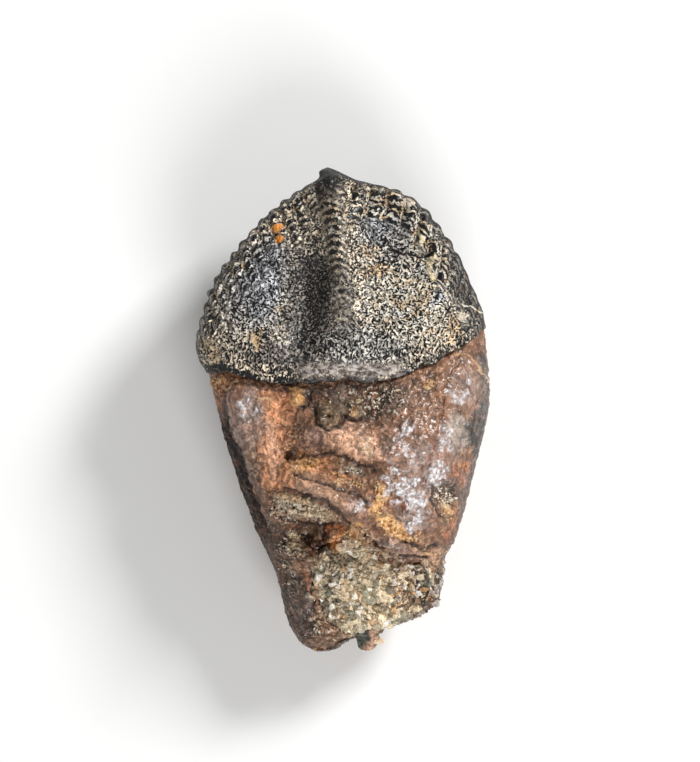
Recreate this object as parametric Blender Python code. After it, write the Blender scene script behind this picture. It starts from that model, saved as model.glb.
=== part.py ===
"""A ceratopsian tooth: a leaf-shaped crown on a broken root, with sandstone left in the root's hollow.

The tooth lies on its back. The enamel face looks up (+Z), the crown's tip points to +Y, the root to -Y.
The origin is on the small flat worn spot of the back that it rests on.
Lengths are in millimetres and become metres in to_metres, where the meshes are made.
"""

import bmesh
import bpy
import numpy as np

MM = 0.001
COLLECTION = "ceratopsian_tooth"

# The two sides of the outline, from the crown's tip down to the root's toe
TIP = (-1.2, 19.0)
TOE = (-1.9, -19.0)
LEFT_EDGE = (TIP, (-1.85, 18.7), (-2.0, 18.1), (-3.4, 17.2), (-5.8, 15.3), (-7.6, 13.4), (-9.0, 11.6))
LEFT_EDGE += ((-10.2, 9.6), (-11.1, 6.9), (-11.45, 5.3), (-11.2, 4.0), (-10.5, 2.8), (-10.1, 1.2))
LEFT_EDGE += ((-9.2, -2.5), (-8.0, -6.2), (-6.9, -9.1), (-5.3, -12.8), (-4.6, -15.6), (-4.1, -17.2))
LEFT_EDGE += ((-3.1, -18.5), TOE)
RIGHT_EDGE = (TIP, (-0.5, 18.75), (1.2, 18.0), (3.6, 17.35), (5.6, 16.4), (7.3, 14.6), (8.8, 12.4))
RIGHT_EDGE += ((9.8, 10.3), (10.9, 7.8), (11.25, 5.0), (11.45, 2.3), (11.3, -0.7), (10.6, -3.8))
RIGHT_EDGE += ((9.7, -7.1), (8.9, -9.9), (8.5, -10.8), (8.1, -11.5), (7.8, -13.4), (7.5, -15.1))
RIGHT_EDGE += ((6.6, -15.8), (5.0, -16.5), (3.2, -17.2), (1.3, -17.85), (0.2, -18.25), (-0.5, -18.8), TOE)

# Heights above the surface that it rests on, by distance along the tooth
STATIONS = (-19.0, -17.0, -14.0, -11.0, -8.0, -4.0, 0.0, 3.0, 6.0, 10.0, 14.0, 17.0, 19.0)
FACE = (7.6, 9.3, 10.7, 12.0, 13.2, 13.7, 13.3, 13.1, 12.4, 11.7, 11.1, 10.4, 9.5)
BACK = (4.4, 2.9, 1.5, 0.6, 0.05, -0.3, -0.35, -0.2, 0.4, 2.0, 4.2, 6.3, 8.0)
LEFT_SIDE = (5.9, 5.8, 5.8, 5.9, 6.2, 6.8, 7.6, 8.8, 9.3, 9.4, 9.3, 9.1, 8.8)
RIGHT_SIDE = (5.9, 5.7, 5.6, 5.7, 6.0, 6.3, 6.6, 7.0, 7.7, 8.6, 9.2, 9.2, 8.8)

# How each cross-section rounds over: a lower power is flatter with a quicker fall at the sides
ROOT_FACE_POWER = 0.85
CROWN_FACE_POWER = 0.55
BACK_POWER = 0.9
END_ROUNDING = 1.5
EDGE_FADE = 0.8
EDGE_SHARE = 0.15

# The crown's base line, where the enamel ends in a step, by distance across the tooth
BASE_ACROSS = (-11.5, -8.1, -6.4, -3.4, 0.2, 3.3, 6.0, 8.4, 10.0, 11.5)
BASE_LINE = (3.2, 2.9, 2.35, 2.3, 2.5, 2.35, 3.4, 4.55, 5.5, 7.0)
BASE_STEP = (0.35, 0.6, 0.6, 0.55, 0.5, 0.45, 0.35, 0.25, 0.2, 0.15)
BASE_STEP_SOFT = 0.5
BASE_RECOVERY = 1.3

# The median ridge of the enamel face, by distance along the tooth
RIDGE_STATIONS = (4.0, 6.5, 9.5, 14.5, 17.3, 19.0)
RIDGE_PLACE = (0.1, 0.0, 0.0, -0.3, -0.8, -1.2)
RIDGE_HEIGHT = (0.0, 0.3, 0.75, 1.05, 1.0, 0.35)
RIDGE_WIDTH = (1.6, 1.45, 1.25, 1.0, 0.8, 0.65)

# Denticles: the margin's small teeth, each with a short ridge that runs down the face from a raised rim
LEFT_PITCH = 1.15
RIGHT_PITCH = 1.45
LEFT_BUMPS_END = 5.5
RIGHT_BUMPS_END = 11.5
BUMPS_TOP = 18.2
DENTICLE_OUT = 0.16
DENTICLE_DEPTH = 0.35
DENTICLE_UP = 0.2
DENTICLE_REACH = 1.6
RIM_END = 4.5
RIM_INSET = 0.8
RIGHT_FLANK = 0.8
RIGHT_FLANK_TOP = 12.5
RIM_HEIGHT = 0.35
RIM_WIDTH = 1.0
FADE = 1.5

# Lumps (+) and hollows (-): middle across, middle along, half width, half length, turn in degrees, height
CROWN_FORMS = {
    "deep trough left of the ridge": (-2.9, 8.6, 1.6, 4.6, -6.0, -1.15),
    "shallow trough right of the ridge": (3.2, 12.2, 2.4, 4.2, 4.0, -0.5),
    "left field": (-6.8, 7.6, 2.6, 4.4, -20.0, 0.25),
    "right field": (6.3, 6.8, 3.0, 2.6, 20.0, 0.35),
}
ROOT_FORMS = {
    "left shoulder": (-7.9, -0.3, 2.0, 3.4, -8.0, 0.75),
    "orange stripe": (-4.7, -2.0, 1.1, 3.8, -4.0, -0.45),
    "pebble under the base": (-3.7, 1.0, 0.62, 0.75, 0.0, 0.5),
    "dark hollow under the base": (2.0, 0.5, 4.4, 1.7, 0.0, -0.55),
    "large boss": (-1.0, -0.4, 1.15, 1.1, 0.0, 0.75),
    "middle boss": (1.1, 0.0, 0.9, 0.95, 0.0, 0.65),
    "small boss": (4.0, 1.0, 1.3, 0.9, 10.0, 0.45),
    "crusted hollow": (-1.2, -4.5, 2.7, 0.95, -12.0, -0.8),
    "grainy band": (-2.8, -7.4, 2.3, 0.85, -22.0, -0.7),
    "right bulge": (6.2, -2.8, 3.2, 5.6, 8.0, 0.9),
    "right shoulder": (9.0, 2.0, 1.7, 2.0, 0.0, 0.35),
    "crystal pit": (7.9, -6.7, 0.85, 1.15, 0.0, -0.7),
    "brown dent": (4.0, -7.2, 0.7, 0.6, 0.0, -0.3),
    "roll above the lip": (5.0, -9.9, 1.8, 0.9, -20.0, 0.4),
    "cavity behind the lip": (-2.2, -9.9, 1.9, 1.15, -10.0, -2.4),
    "dent inside the tongue": (-2.7, -16.2, 0.5, 1.0, 0.0, -0.4),
    "toe": (-2.1, -18.0, 1.3, 0.9, 0.0, 0.4),
}
BACK_FORMS = {
    "left groove of the root": (-4.7, -9.5, 1.3, 6.0, -8.0, -0.7),
    "right groove of the root": (5.4, -8.0, 1.5, 5.5, 8.0, -0.6),
    "left hollow of the crown": (-4.6, 11.2, 2.3, 4.6, 22.0, -0.6),
    "right hollow of the crown": (4.8, 11.4, 2.3, 4.6, -22.0, -0.6),
    "keel of the crown": (0.7, 13.0, 1.0, 4.5, 0.0, 0.35),
    "dent near the toe": (1.4, -14.6, 1.4, 1.7, 0.0, -0.5),
    "left swelling": (-8.0, 2.6, 1.6, 2.2, 0.0, 0.4),
    "right swelling": (8.4, 1.5, 1.7, 3.0, 0.0, 0.35),
}

# Rounded folds: points along the top, half width, height
CROWN_FOLDS = {
    "smooth band at the base": (((-3.3, 3.1), (0.2, 3.15), (4.4, 3.1)), 0.55, 0.25),
}
ROOT_FOLDS = {
    "salmon fold": (((-2.2, -1.7), (0.2, -2.2), (1.7, -2.8), (3.3, -3.6)), 1.0, 0.75),
    "diagonal ridge": (((-4.4, -5.1), (-3.2, -5.6), (-1.1, -6.4), (0.6, -7.5), (2.2, -8.7)), 0.85, 0.95),
    "crease at the left side": (((-8.5, 0.5), (-7.6, -3.3), (-6.3, -6.2), (-5.6, -8.3)), 0.65, 0.45),
    "tongue": (((-3.9, -11.2), (-3.6, -14.0), (-2.9, -17.0)), 1.0, 0.45),
    "tongue's inner rim": (((-2.75, -11.8), (-2.7, -14.7)), 0.4, 0.35),
}

# The broken lip, below which the root's front wall has gone
LIP_ACROSS = (-8.0, -4.7, -3.0, 0.0, 1.6, 2.6, 3.8, 5.5, 7.6, 9.0)
LIP_LINE = (-9.4, -8.6, -8.2, -8.7, -9.5, -10.7, -11.4, -11.8, -11.6, -10.8)
LIP_DROP = 1.1
LIP_SOFT = 0.5
LIP_START = -6.5
LIP_START_SOFT = 2.5

# The sandstone plug, and the hollow of the root that it sits in
PLUG_OUTLINE = ((-2.3, -11.2), (-1.2, -10.2), (0.3, -9.7), (1.7, -10.2), (2.9, -11.6), (4.6, -12.1))
PLUG_OUTLINE += ((6.1, -12.3), (6.7, -13.2), (6.5, -14.7), (5.6, -15.6), (4.2, -16.4), (2.9, -17.0))
PLUG_OUTLINE += ((2.75, -18.2), (2.2, -18.8), (1.3, -18.7), (1.0, -17.8), (0.0, -17.5), (-1.0, -16.8))
PLUG_OUTLINE += ((-1.9, -15.5), (-2.3, -13.4))
PLUG_MIDDLE = (2.3, -14.2)
PLUG_FLOOR = 4.2
PLUG_WALL = ((5.7, 1.0), (5.0, 0.97), (4.5, 0.9), (PLUG_FLOOR, 0.76))
PLUG_SINK = 0.35
ROOT_MIDDLE = 1.9
ROOT_HALF_WIDTH = 7.0
CHIP_TOP = -16.4
GRAINS = 110
GRAIN_SIZE = 0.55
GRAIN_RISE = 0.32
GAP = 0.3
ABOVE_ALL = 17.0
SEED = 7

# How finely the forms are drawn, before they are thinned to the faces that the shape needs
RINGS = 220
FACE_STEPS = 110
BACK_STEPS = 46
TOOTH_FACES_KEPT = 0.105
LINE_STEPS = 24
PLUG_SPOKES = 40
PLUG_RINGS = 12
PLUG_INNERMOST = 0.12

REST_BOX = 40.0


def smoothstep(value):
    value = np.clip(value, 0.0, 1.0)
    return value * value * (3.0 - 2.0 * value)


def smooth_height(where, stations, heights):
    """A smooth line through a few stations: cubic spans whose slopes follow their neighbours."""
    stations = np.asarray(stations)
    heights = np.asarray(heights)
    slopes = np.gradient(heights, stations)
    where = np.clip(where, stations[0], stations[-1])
    span = np.clip(np.searchsorted(stations, where, side="right") - 1, 0, len(stations) - 2)
    width = stations[span + 1] - stations[span]
    part = (where - stations[span]) / width
    rise = smoothstep(part)
    leaving = part * (1.0 - part) ** 2 * width * slopes[span]
    arriving = part**2 * (1.0 - part) * width * slopes[span + 1]
    return (1.0 - rise) * heights[span] + leaving + rise * heights[span + 1] - arriving


def smooth_line(points, count, closed=False):
    """A round line through the points, as count points at even steps, and their distances along it."""
    points = np.asarray(points, float)
    if closed:
        padded = np.vstack([points[-1], points, points[:2]])
    else:
        padded = np.vstack([2 * points[0] - points[1], points, 2 * points[-1] - points[-2]])
    t = np.linspace(0.0, 1.0, LINE_STEPS, endpoint=False)[:, None]
    spans = []
    for a, b, c, d in zip(padded, padded[1:], padded[2:], padded[3:]):
        bend = 2 * a - 5 * b + 4 * c - d
        twist = 3 * b - 3 * c + d - a
        spans.append((2 * b + (c - a) * t + bend * t**2 + twist * t**3) / 2)
    spans.append(padded[-2][None])
    line = np.vstack(spans)
    pieces = np.linalg.norm(np.diff(line, axis=0), axis=1)
    length = np.concatenate([[0.0], np.cumsum(pieces)])
    steps = np.linspace(0.0, length[-1], count, endpoint=not closed)
    return np.column_stack([np.interp(steps, length, line[:, i]) for i in (0, 1)]), steps


def form(x, y, across, along, half_width, half_length, turn):
    """A rounded lump: 1 in its middle, fading to 0 a little past its half sizes."""
    angle = np.radians(turn)
    dx = (x - across) * np.cos(angle) + (y - along) * np.sin(angle)
    dy = (y - along) * np.cos(angle) - (x - across) * np.sin(angle)
    return np.exp(-(((dx / half_width) ** 2 + (dy / half_length) ** 2) ** 1.3))


def distance_to_line(x, y, points):
    nearest = np.full(np.shape(x), np.inf)
    for (ax, ay), (bx, by) in zip(points, points[1:]):
        run = (bx - ax) ** 2 + (by - ay) ** 2
        part = np.clip(((x - ax) * (bx - ax) + (y - ay) * (by - ay)) / run, 0.0, 1.0)
        nearest = np.minimum(nearest, np.hypot(x - ax - part * (bx - ax), y - ay - part * (by - ay)))
    return nearest


def forms_relief(x, y, forms, folds):
    relief = np.zeros(np.shape(x))
    for *place, rise in forms.values():
        relief += rise * form(x, y, *place)
    for points, half_width, rise in folds.values():
        relief += rise * np.exp(-((distance_to_line(x, y, points) / half_width) ** 2))
    return relief


def crown_share(x, y):
    """1 on the enamel, 0 on the root, with the base's step between them."""
    line = smooth_height(x, BASE_ACROSS, BASE_LINE)
    return smoothstep((y - line) / BASE_STEP_SOFT + 0.5)


def median_ridge(x, y):
    offset = x - smooth_height(y, RIDGE_STATIONS, RIDGE_PLACE)
    width = smooth_height(y, RIDGE_STATIONS, RIDGE_WIDTH)
    height = np.where(y > RIDGE_STATIONS[0], smooth_height(y, RIDGE_STATIONS, RIDGE_HEIGHT), 0.0)
    return height * np.exp(-((offset / width) ** 2))


def base_step(x, y):
    """The root starts lower than the enamel and comes back up a little way below it."""
    below_base = smooth_height(x, BASE_ACROSS, BASE_LINE) - y
    step = smooth_height(x, BASE_ACROSS, BASE_STEP)
    return step * np.exp(-np.clip(below_base, 0.0, None) / BASE_RECOVERY)


def lip_step(x, y):
    below_lip = smooth_height(x, LIP_ACROSS, LIP_LINE) - y
    drop = LIP_DROP * smoothstep((x - LIP_START) / LIP_START_SOFT)
    return drop * smoothstep(below_lip / LIP_SOFT + 0.5)


def denticle_wave(length, pitch):
    """1 on a denticle, -1 between two."""
    return np.cos(2 * np.pi * length / pitch)


def denticle_push(edge, lengths, pitch, bumps_end, side):
    """How far each point of the crown's margin is moved outwards by its denticles."""
    direction = np.gradient(edge, axis=0)
    direction /= np.linalg.norm(direction, axis=1)[:, None]
    outward = np.column_stack([-direction[:, 1], direction[:, 0]]) * side
    on_crown = smoothstep((edge[:, 1] - bumps_end) / FADE) * smoothstep((BUMPS_TOP - edge[:, 1]) / FADE)
    push = DENTICLE_OUT * on_crown * denticle_wave(lengths, pitch) / 2
    return outward * push[:, None]


def margin_relief(y, from_edge, on_right, length):
    """The raised rim of the face and the denticles' ridges, which fade away from it."""
    on_crown = smoothstep((y - RIM_END) / FADE)
    flank = RIGHT_FLANK * smoothstep((RIGHT_FLANK_TOP - y) / (2 * FADE))
    inset = RIM_INSET + np.where(on_right, flank, 0.0)
    rim = RIM_HEIGHT * np.exp(-(((from_edge - inset) / RIM_WIDTH) ** 2))
    wave = denticle_wave(length, np.where(on_right, RIGHT_PITCH, LEFT_PITCH))
    ridges = DENTICLE_UP * wave / 2 * np.exp(-(((from_edge - inset / 2) / DENTICLE_REACH) ** 2))
    return on_crown * (rim + ridges)


def tooth_rings():
    """Rings of points across the tooth, from the tip to the toe, each one round the face and the back."""
    left, left_length = (line[1:-1] for line in smooth_line(LEFT_EDGE, RINGS + 2))
    right, right_length = (line[1:-1] for line in smooth_line(RIGHT_EDGE, RINGS + 2))
    left_push = denticle_push(left, left_length, LEFT_PITCH, LEFT_BUMPS_END, -1.0)
    right_push = denticle_push(right, right_length, RIGHT_PITCH, RIGHT_BUMPS_END, 1.0)

    face_turn = np.linspace(0.0, np.pi, FACE_STEPS, endpoint=False)
    back_turn = np.linspace(np.pi, 2 * np.pi, BACK_STEPS, endpoint=False)
    turn = np.concatenate([face_turn, back_turn])[None, :]
    across = np.cos(turn)
    lift = np.abs(np.sin(turn))
    on_right = across > 0

    middle = (left + right) / 2
    half = (right - left) / 2
    near_margin = np.exp(-((lift / DENTICLE_DEPTH) ** 2))
    push = [np.where(on_right, right_push[:, [i]], left_push[:, [i]]) * near_margin for i in (0, 1)]
    x = middle[:, [0]] + half[:, [0]] * across + push[0]
    y = middle[:, [1]] + half[:, [1]] * across + push[1]

    to_end = np.minimum(left_length, left_length[-1] + left_length[0] - left_length)
    end_round = np.sqrt(np.clip(to_end / END_ROUNDING, 0.0, 1.0))[:, None]
    right_share = (across + 1.0) / 2
    left_side = smooth_height(y, STATIONS, LEFT_SIDE)
    side = left_side + right_share * (smooth_height(y, STATIONS, RIGHT_SIDE) - left_side)
    to_face = (smooth_height(y, STATIONS, FACE) - side) * end_round
    to_back = (smooth_height(y, STATIONS, BACK) - side) * end_round

    crown = crown_share(x, y)
    from_edge = (1.0 - np.abs(across)) * np.linalg.norm(half, axis=1)[:, None]
    length = np.where(on_right, right_length[:, None], left_length[:, None])
    on_crown = median_ridge(x, y) + forms_relief(x, y, CROWN_FORMS, CROWN_FOLDS)
    on_crown += margin_relief(y, from_edge, on_right, length)
    on_root = forms_relief(x, y, ROOT_FORMS, ROOT_FOLDS) - base_step(x, y) - lip_step(x, y)
    relief = crown * on_crown + (1.0 - crown) * on_root
    relief *= EDGE_SHARE + (1.0 - EDGE_SHARE) * smoothstep(from_edge / EDGE_FADE)
    power = ROOT_FACE_POWER + (CROWN_FACE_POWER - ROOT_FACE_POWER) * crown
    z_face = side + to_face * lift**power + relief * end_round * (lift > 0)
    z_back = side + to_back * lift**BACK_POWER - forms_relief(x, y, BACK_FORMS, {}) * lift * end_round
    return np.stack([x, y, np.where(turn < np.pi, z_face, z_back)], axis=-1)


def grain_relief(x, y):
    """Cobbled grains: every point stands on its nearest grain, and each grain has its own height."""
    chance = np.random.default_rng(SEED)
    low = np.min(PLUG_OUTLINE, axis=0)
    high = np.max(PLUG_OUTLINE, axis=0)
    grains = chance.uniform(low, high, (GRAINS, 2))
    heights = chance.uniform(-1.0, 1.0, GRAINS) * GRAIN_RISE
    away = np.hypot(x[:, None] - grains[:, 0], y[:, None] - grains[:, 1])
    return heights[away.argmin(axis=1)] + GRAIN_RISE * (0.5 - away.min(axis=1) / GRAIN_SIZE)


def plug_height(x, y):
    """The top of the sandstone: the root's own round form, sunk a little, with grains standing up."""
    crest = smooth_height(y, STATIONS, FACE) - LIP_DROP - PLUG_SINK
    side = smooth_height(y, STATIONS, RIGHT_SIDE)
    across = np.clip((x - ROOT_MIDDLE) / ROOT_HALF_WIDTH, -1.0, 1.0)
    return side + (crest - side) * np.sqrt(1.0 - across**2) + grain_relief(x, y)


def plug_rings(grow, bare):
    """Rings of the plug from the middle of its top out to its edge, and down its sides to the floor."""
    outline, _ = smooth_line(PLUG_OUTLINE, PLUG_SPOKES, closed=True)
    middle = np.array(PLUG_MIDDLE)
    reach = np.linalg.norm(outline - middle, axis=1)
    if grow > 0.0:
        beside = np.maximum(np.roll(reach, 1), np.roll(reach, -1))
        wanted = np.where(outline[:, 1] < CHIP_TOP, np.maximum(beside, reach), reach) + grow
        outline = middle + (outline - middle) * (wanted / reach)[:, None]
    rings = []
    for size in np.linspace(PLUG_INNERMOST, 1.0, PLUG_RINGS):
        ring = middle + (outline - middle) * size
        z = np.full(len(ring), ABOVE_ALL) if bare else plug_height(ring[:, 0], ring[:, 1])
        rings.append(np.column_stack([ring, z]))
    for height, size in PLUG_WALL:
        ring = middle + (outline - middle) * size
        rings.append(np.column_stack([ring, np.full(len(ring), height - grow)]))
    return rings


def to_metres(point):
    return tuple(float(c) * MM for c in point)


def capped_loft(name, rings, first_pole, last_pole):
    """A closed mesh through rings of equal length, closed at each end by a fan to one point."""
    work = bmesh.new()
    rows = [[work.verts.new(to_metres(point)) for point in ring] for ring in rings]
    start = work.verts.new(to_metres(first_pole))
    end = work.verts.new(to_metres(last_pole))
    count = len(rows[0])
    for i in range(count):
        after = (i + 1) % count
        work.faces.new((start, rows[0][after], rows[0][i]))
        work.faces.new((end, rows[-1][i], rows[-1][after]))
        for upper, lower in zip(rows, rows[1:]):
            work.faces.new((upper[i], upper[after], lower[after], lower[i]))
    if work.calc_volume(signed=True) < 0.0:
        bmesh.ops.reverse_faces(work, faces=work.faces)
    mesh = bpy.data.meshes.new(name)
    work.to_mesh(mesh)
    work.free()
    return mesh


def plug_mesh(name, grow=0.0, bare=False):
    rings = plug_rings(grow, bare)
    return capped_loft(name, rings, (*PLUG_MIDDLE, rings[0][:, 2].mean()), (*PLUG_MIDDLE, PLUG_FLOOR - grow))


def material(name, colour, roughness):
    made = bpy.data.materials.new(name)
    made.use_nodes = True
    shader = made.node_tree.nodes["Principled BSDF"]
    shader.inputs["Base Color"].default_value = (*colour, 1.0)
    shader.inputs["Roughness"].default_value = roughness
    shader.inputs["Metallic"].default_value = 0.0
    return made


def add_object(mesh, collection):
    made = bpy.data.objects.new(mesh.name, mesh)
    collection.objects.link(made)
    return made


def cut(obj, cutter):
    """Cuts the cutter's shape out of the object. The cutter itself stays out of the model."""
    cutter.hide_render = True
    cutter.display_type = "WIRE"
    modifier = obj.modifiers.new("cut_" + cutter.name, "BOOLEAN")
    modifier.operation = "DIFFERENCE"
    modifier.object = cutter


def rest_cutter():
    """A box whose top is the surface that the tooth rests on."""
    work = bmesh.new()
    bmesh.ops.create_cube(work, size=REST_BOX * MM)
    bmesh.ops.translate(work, vec=(0.0, 0.0, -REST_BOX * MM / 2), verts=work.verts)
    mesh = bpy.data.meshes.new("rest_cutter")
    work.to_mesh(mesh)
    work.free()
    return mesh


def build_tooth(collection, cutters):
    rings = tooth_rings()
    tip = (*TIP, rings[0][:, 2].mean())
    toe = (*TOE, rings[-1][:, 2].mean())
    mesh = capped_loft("tooth", rings, tip, toe)
    mesh.materials.append(material("enamel_and_root", (0.09, 0.055, 0.04), 0.45))
    tooth = add_object(mesh, collection)
    thin = tooth.modifiers.new("thin", "DECIMATE")
    thin.ratio = TOOTH_FACES_KEPT
    cut(tooth, add_object(plug_mesh("hollow_cutter", GAP, bare=True), cutters))
    cut(tooth, add_object(rest_cutter(), cutters))


def build_matrix(collection):
    mesh = plug_mesh("matrix")
    mesh.materials.append(material("sandstone", (0.36, 0.31, 0.22), 0.9))
    add_object(mesh, collection)


def main():
    for obj in list(bpy.data.objects):
        bpy.data.objects.remove(obj, do_unlink=True)
    parts = bpy.data.collections.new(COLLECTION)
    cutters = bpy.data.collections.new("cutters")
    bpy.context.scene.collection.children.link(parts)
    bpy.context.scene.collection.children.link(cutters)
    build_tooth(parts, cutters)
    build_matrix(parts)


main()
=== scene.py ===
# %% [markdown]
# A ceratopsian tooth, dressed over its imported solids.
# The solids give the size and the main forms. This lesson makes the skins that are seen: the pebbled enamel
# of the crown, the waxy brown root, the sandstone in its hollow and the crumbs of crust.
# Every length below is in millimetres, and becomes metres where a mesh is made.

from functools import partial

import bmesh
import bpy
import numpy as np
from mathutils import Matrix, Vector

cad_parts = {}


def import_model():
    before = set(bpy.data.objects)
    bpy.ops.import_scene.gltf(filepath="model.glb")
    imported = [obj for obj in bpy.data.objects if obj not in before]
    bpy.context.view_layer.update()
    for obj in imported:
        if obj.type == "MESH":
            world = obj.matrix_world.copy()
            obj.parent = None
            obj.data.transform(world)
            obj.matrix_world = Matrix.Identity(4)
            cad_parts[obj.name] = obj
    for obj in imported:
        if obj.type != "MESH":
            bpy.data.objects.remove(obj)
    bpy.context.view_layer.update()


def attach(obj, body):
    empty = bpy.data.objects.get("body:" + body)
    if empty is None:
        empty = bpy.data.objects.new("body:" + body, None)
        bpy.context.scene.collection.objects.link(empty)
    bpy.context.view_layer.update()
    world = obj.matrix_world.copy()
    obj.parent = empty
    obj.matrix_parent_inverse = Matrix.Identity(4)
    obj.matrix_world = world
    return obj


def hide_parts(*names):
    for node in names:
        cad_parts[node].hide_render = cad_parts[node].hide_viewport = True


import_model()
MM = 0.001
SEED = 7

# %% [markdown]
# The picture looks straight down on the lying tooth, with the crown's tip up. A long lens from far away
# keeps the sides of the tooth out of sight, as in the photo. The frame's height takes in about 60 mm at the
# height of the tooth's outline.

# %% Camera
FRAME_HEIGHT = 59.8
FRAME_MIDDLE = (0.55, 2.28)
OUTLINE_LEVEL = 8.0
CAMERA_DISTANCE = 450.0
SENSOR = 24.0

camera_data = bpy.data.cameras.new("camera")
camera_data.sensor_fit = "VERTICAL"
camera_data.sensor_height = SENSOR
camera_data.lens = SENSOR * CAMERA_DISTANCE / FRAME_HEIGHT
camera_data.clip_start = 0.01
camera = bpy.data.objects.new("camera", camera_data)
camera.location = Vector((*FRAME_MIDDLE, OUTLINE_LEVEL + CAMERA_DISTANCE)) * MM
bpy.context.scene.collection.objects.link(camera)
bpy.context.scene.camera = camera
print("lens:", round(camera_data.lens, 1), "mm")

# %% [markdown]
# One soft window of light comes from the upper right, low enough to leave the trough beside the ridge and
# the left flank dark. A broad panel overhead gives the glossy root real highlights, and the root's material
# paints more highlights on its bulges. A weak fill opens the shadows. Each lamp has its place, its size and
# its power, and looks at the origin.

# %% Lights and floor
KEY = ("key", (280.0, 260.0, 280.0), 120.0, 2.0)
OVERHEAD = ("overhead", (150.0, -420.0, 380.0), 280.0, 1.9)
FILL = ("fill", (-400.0, -60.0, 280.0), 320.0, 0.25)
SKY = 0.24
FLOOR_SIZE = 1600.0


def add_lamp(name, place, size, power):
    lamp = bpy.data.lights.new(name, "AREA")
    lamp.size = size * MM
    lamp.energy = power
    made = bpy.data.objects.new(name, lamp)
    made.location = Vector(place) * MM
    made.rotation_euler = Vector(place).to_track_quat("Z", "Y").to_euler()
    bpy.context.scene.collection.objects.link(made)


def srgb(red, green, blue):
    """A colour as a paint chart gives it, 0 to 255, made linear for a shader."""
    parts = np.array([red, green, blue]) / 255.0
    return tuple(np.where(parts <= 0.04045, parts / 12.92, ((parts + 0.055) / 1.055) ** 2.4))


for lamp_values in (KEY, OVERHEAD, FILL):
    add_lamp(*lamp_values)
world = bpy.data.worlds.new("studio")
world.use_nodes = True
world.node_tree.nodes["Background"].inputs["Color"].default_value = (1.0, 1.0, 1.0, 1.0)
world.node_tree.nodes["Background"].inputs["Strength"].default_value = SKY
bpy.context.scene.world = world
bpy.context.scene.view_settings.view_transform = "Standard"

floor_mesh = bpy.data.meshes.new("floor")
half = FLOOR_SIZE * MM / 2
corners = [(-half, -half, 0.0), (half, -half, 0.0), (half, half, 0.0), (-half, half, 0.0)]
floor_mesh.from_pydata(corners, [], [(0, 1, 2, 3)])
floor = bpy.data.objects.new("floor", floor_mesh)
bpy.context.scene.collection.objects.link(floor)
floor_paint = bpy.data.materials.new("pale_floor")
floor_paint.use_nodes = True
floor_shader = floor_paint.node_tree.nodes["Principled BSDF"]
floor_shader.inputs["Base Color"].default_value = (0.93, 0.93, 0.92, 1.0)
floor_shader.inputs["Roughness"].default_value = 0.8
floor_mesh.materials.append(floor_paint)

# %% [markdown]
# The tooth's form is a loft. Two outline lines run down its sides from the tip to the toe, and a
# cross-section rounds over between them at every step. These are the same measures that the solids were
# built from, so the skins below lie on the solids.

# %% The tooth's outline and heights
TIP = (-1.2, 19.0)
TOE = (-1.9, -19.0)
LEFT_EDGE = (TIP, (-1.85, 18.7), (-2.0, 18.1), (-3.4, 17.2), (-5.8, 15.3), (-7.6, 13.4), (-9.0, 11.6))
LEFT_EDGE += ((-10.2, 9.6), (-11.1, 6.9), (-11.45, 5.3), (-11.2, 4.0), (-10.5, 2.8), (-10.1, 1.2))
LEFT_EDGE += ((-9.2, -2.5), (-8.0, -6.2), (-6.9, -9.1), (-5.3, -12.8), (-4.6, -15.6), (-4.1, -17.2))
LEFT_EDGE += ((-3.1, -18.5), TOE)
RIGHT_EDGE = (TIP, (-0.5, 18.75), (1.2, 18.0), (3.6, 17.35), (5.6, 16.4), (7.3, 14.6), (8.8, 12.4))
RIGHT_EDGE += ((9.8, 10.3), (10.9, 7.8), (11.25, 5.0), (11.45, 2.3), (11.3, -0.7), (10.6, -3.8))
RIGHT_EDGE += ((9.7, -7.1), (8.9, -9.9), (8.5, -10.8), (8.1, -11.5), (7.8, -13.4), (7.5, -15.1))
RIGHT_EDGE += ((6.6, -15.8), (5.0, -16.5), (3.2, -17.2), (1.3, -17.85), (0.2, -18.25), (-0.5, -18.8), TOE)

STATIONS = (-19.0, -17.0, -14.0, -11.0, -8.0, -4.0, 0.0, 3.0, 6.0, 10.0, 14.0, 17.0, 19.0)
FACE = (7.6, 9.3, 10.7, 12.0, 13.2, 13.7, 13.3, 13.1, 12.4, 11.7, 11.1, 10.4, 9.5)
BACK = (4.4, 2.9, 1.5, 0.6, 0.05, -0.3, -0.35, -0.2, 0.4, 2.0, 4.2, 6.3, 8.0)
LEFT_SIDE = (5.9, 5.8, 5.8, 5.9, 6.2, 6.8, 7.6, 8.8, 9.3, 9.4, 9.3, 9.1, 8.8)
RIGHT_SIDE = (5.9, 5.7, 5.6, 5.7, 6.0, 6.3, 6.6, 7.0, 7.7, 8.6, 9.2, 9.2, 8.8)
ROOT_FACE_POWER = 0.85
CROWN_FACE_POWER = 0.55
BACK_POWER = 0.9
END_ROUNDING = 1.5
EDGE_FADE = 0.8
EDGE_SHARE = 0.15

BASE_ACROSS = (-11.5, -8.1, -6.4, -3.4, 0.2, 3.3, 6.0, 8.4, 10.0, 11.5)
BASE_LINE = (3.2, 2.9, 2.35, 2.3, 2.5, 2.35, 3.4, 4.55, 5.5, 7.0)
BASE_STEP = (0.35, 0.6, 0.6, 0.55, 0.5, 0.45, 0.35, 0.25, 0.2, 0.15)
BASE_RECOVERY = 1.3

RIDGE_STATIONS = (4.0, 6.5, 9.5, 14.5, 17.3, 19.0)
RIDGE_PLACE = (0.1, 0.0, 0.0, -0.3, -0.8, -1.2)
RIDGE_HEIGHT = (0.0, 0.3, 0.75, 1.05, 1.0, 0.35)
RIDGE_WIDTH = (1.6, 1.45, 1.25, 1.0, 0.8, 0.65)

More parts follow.
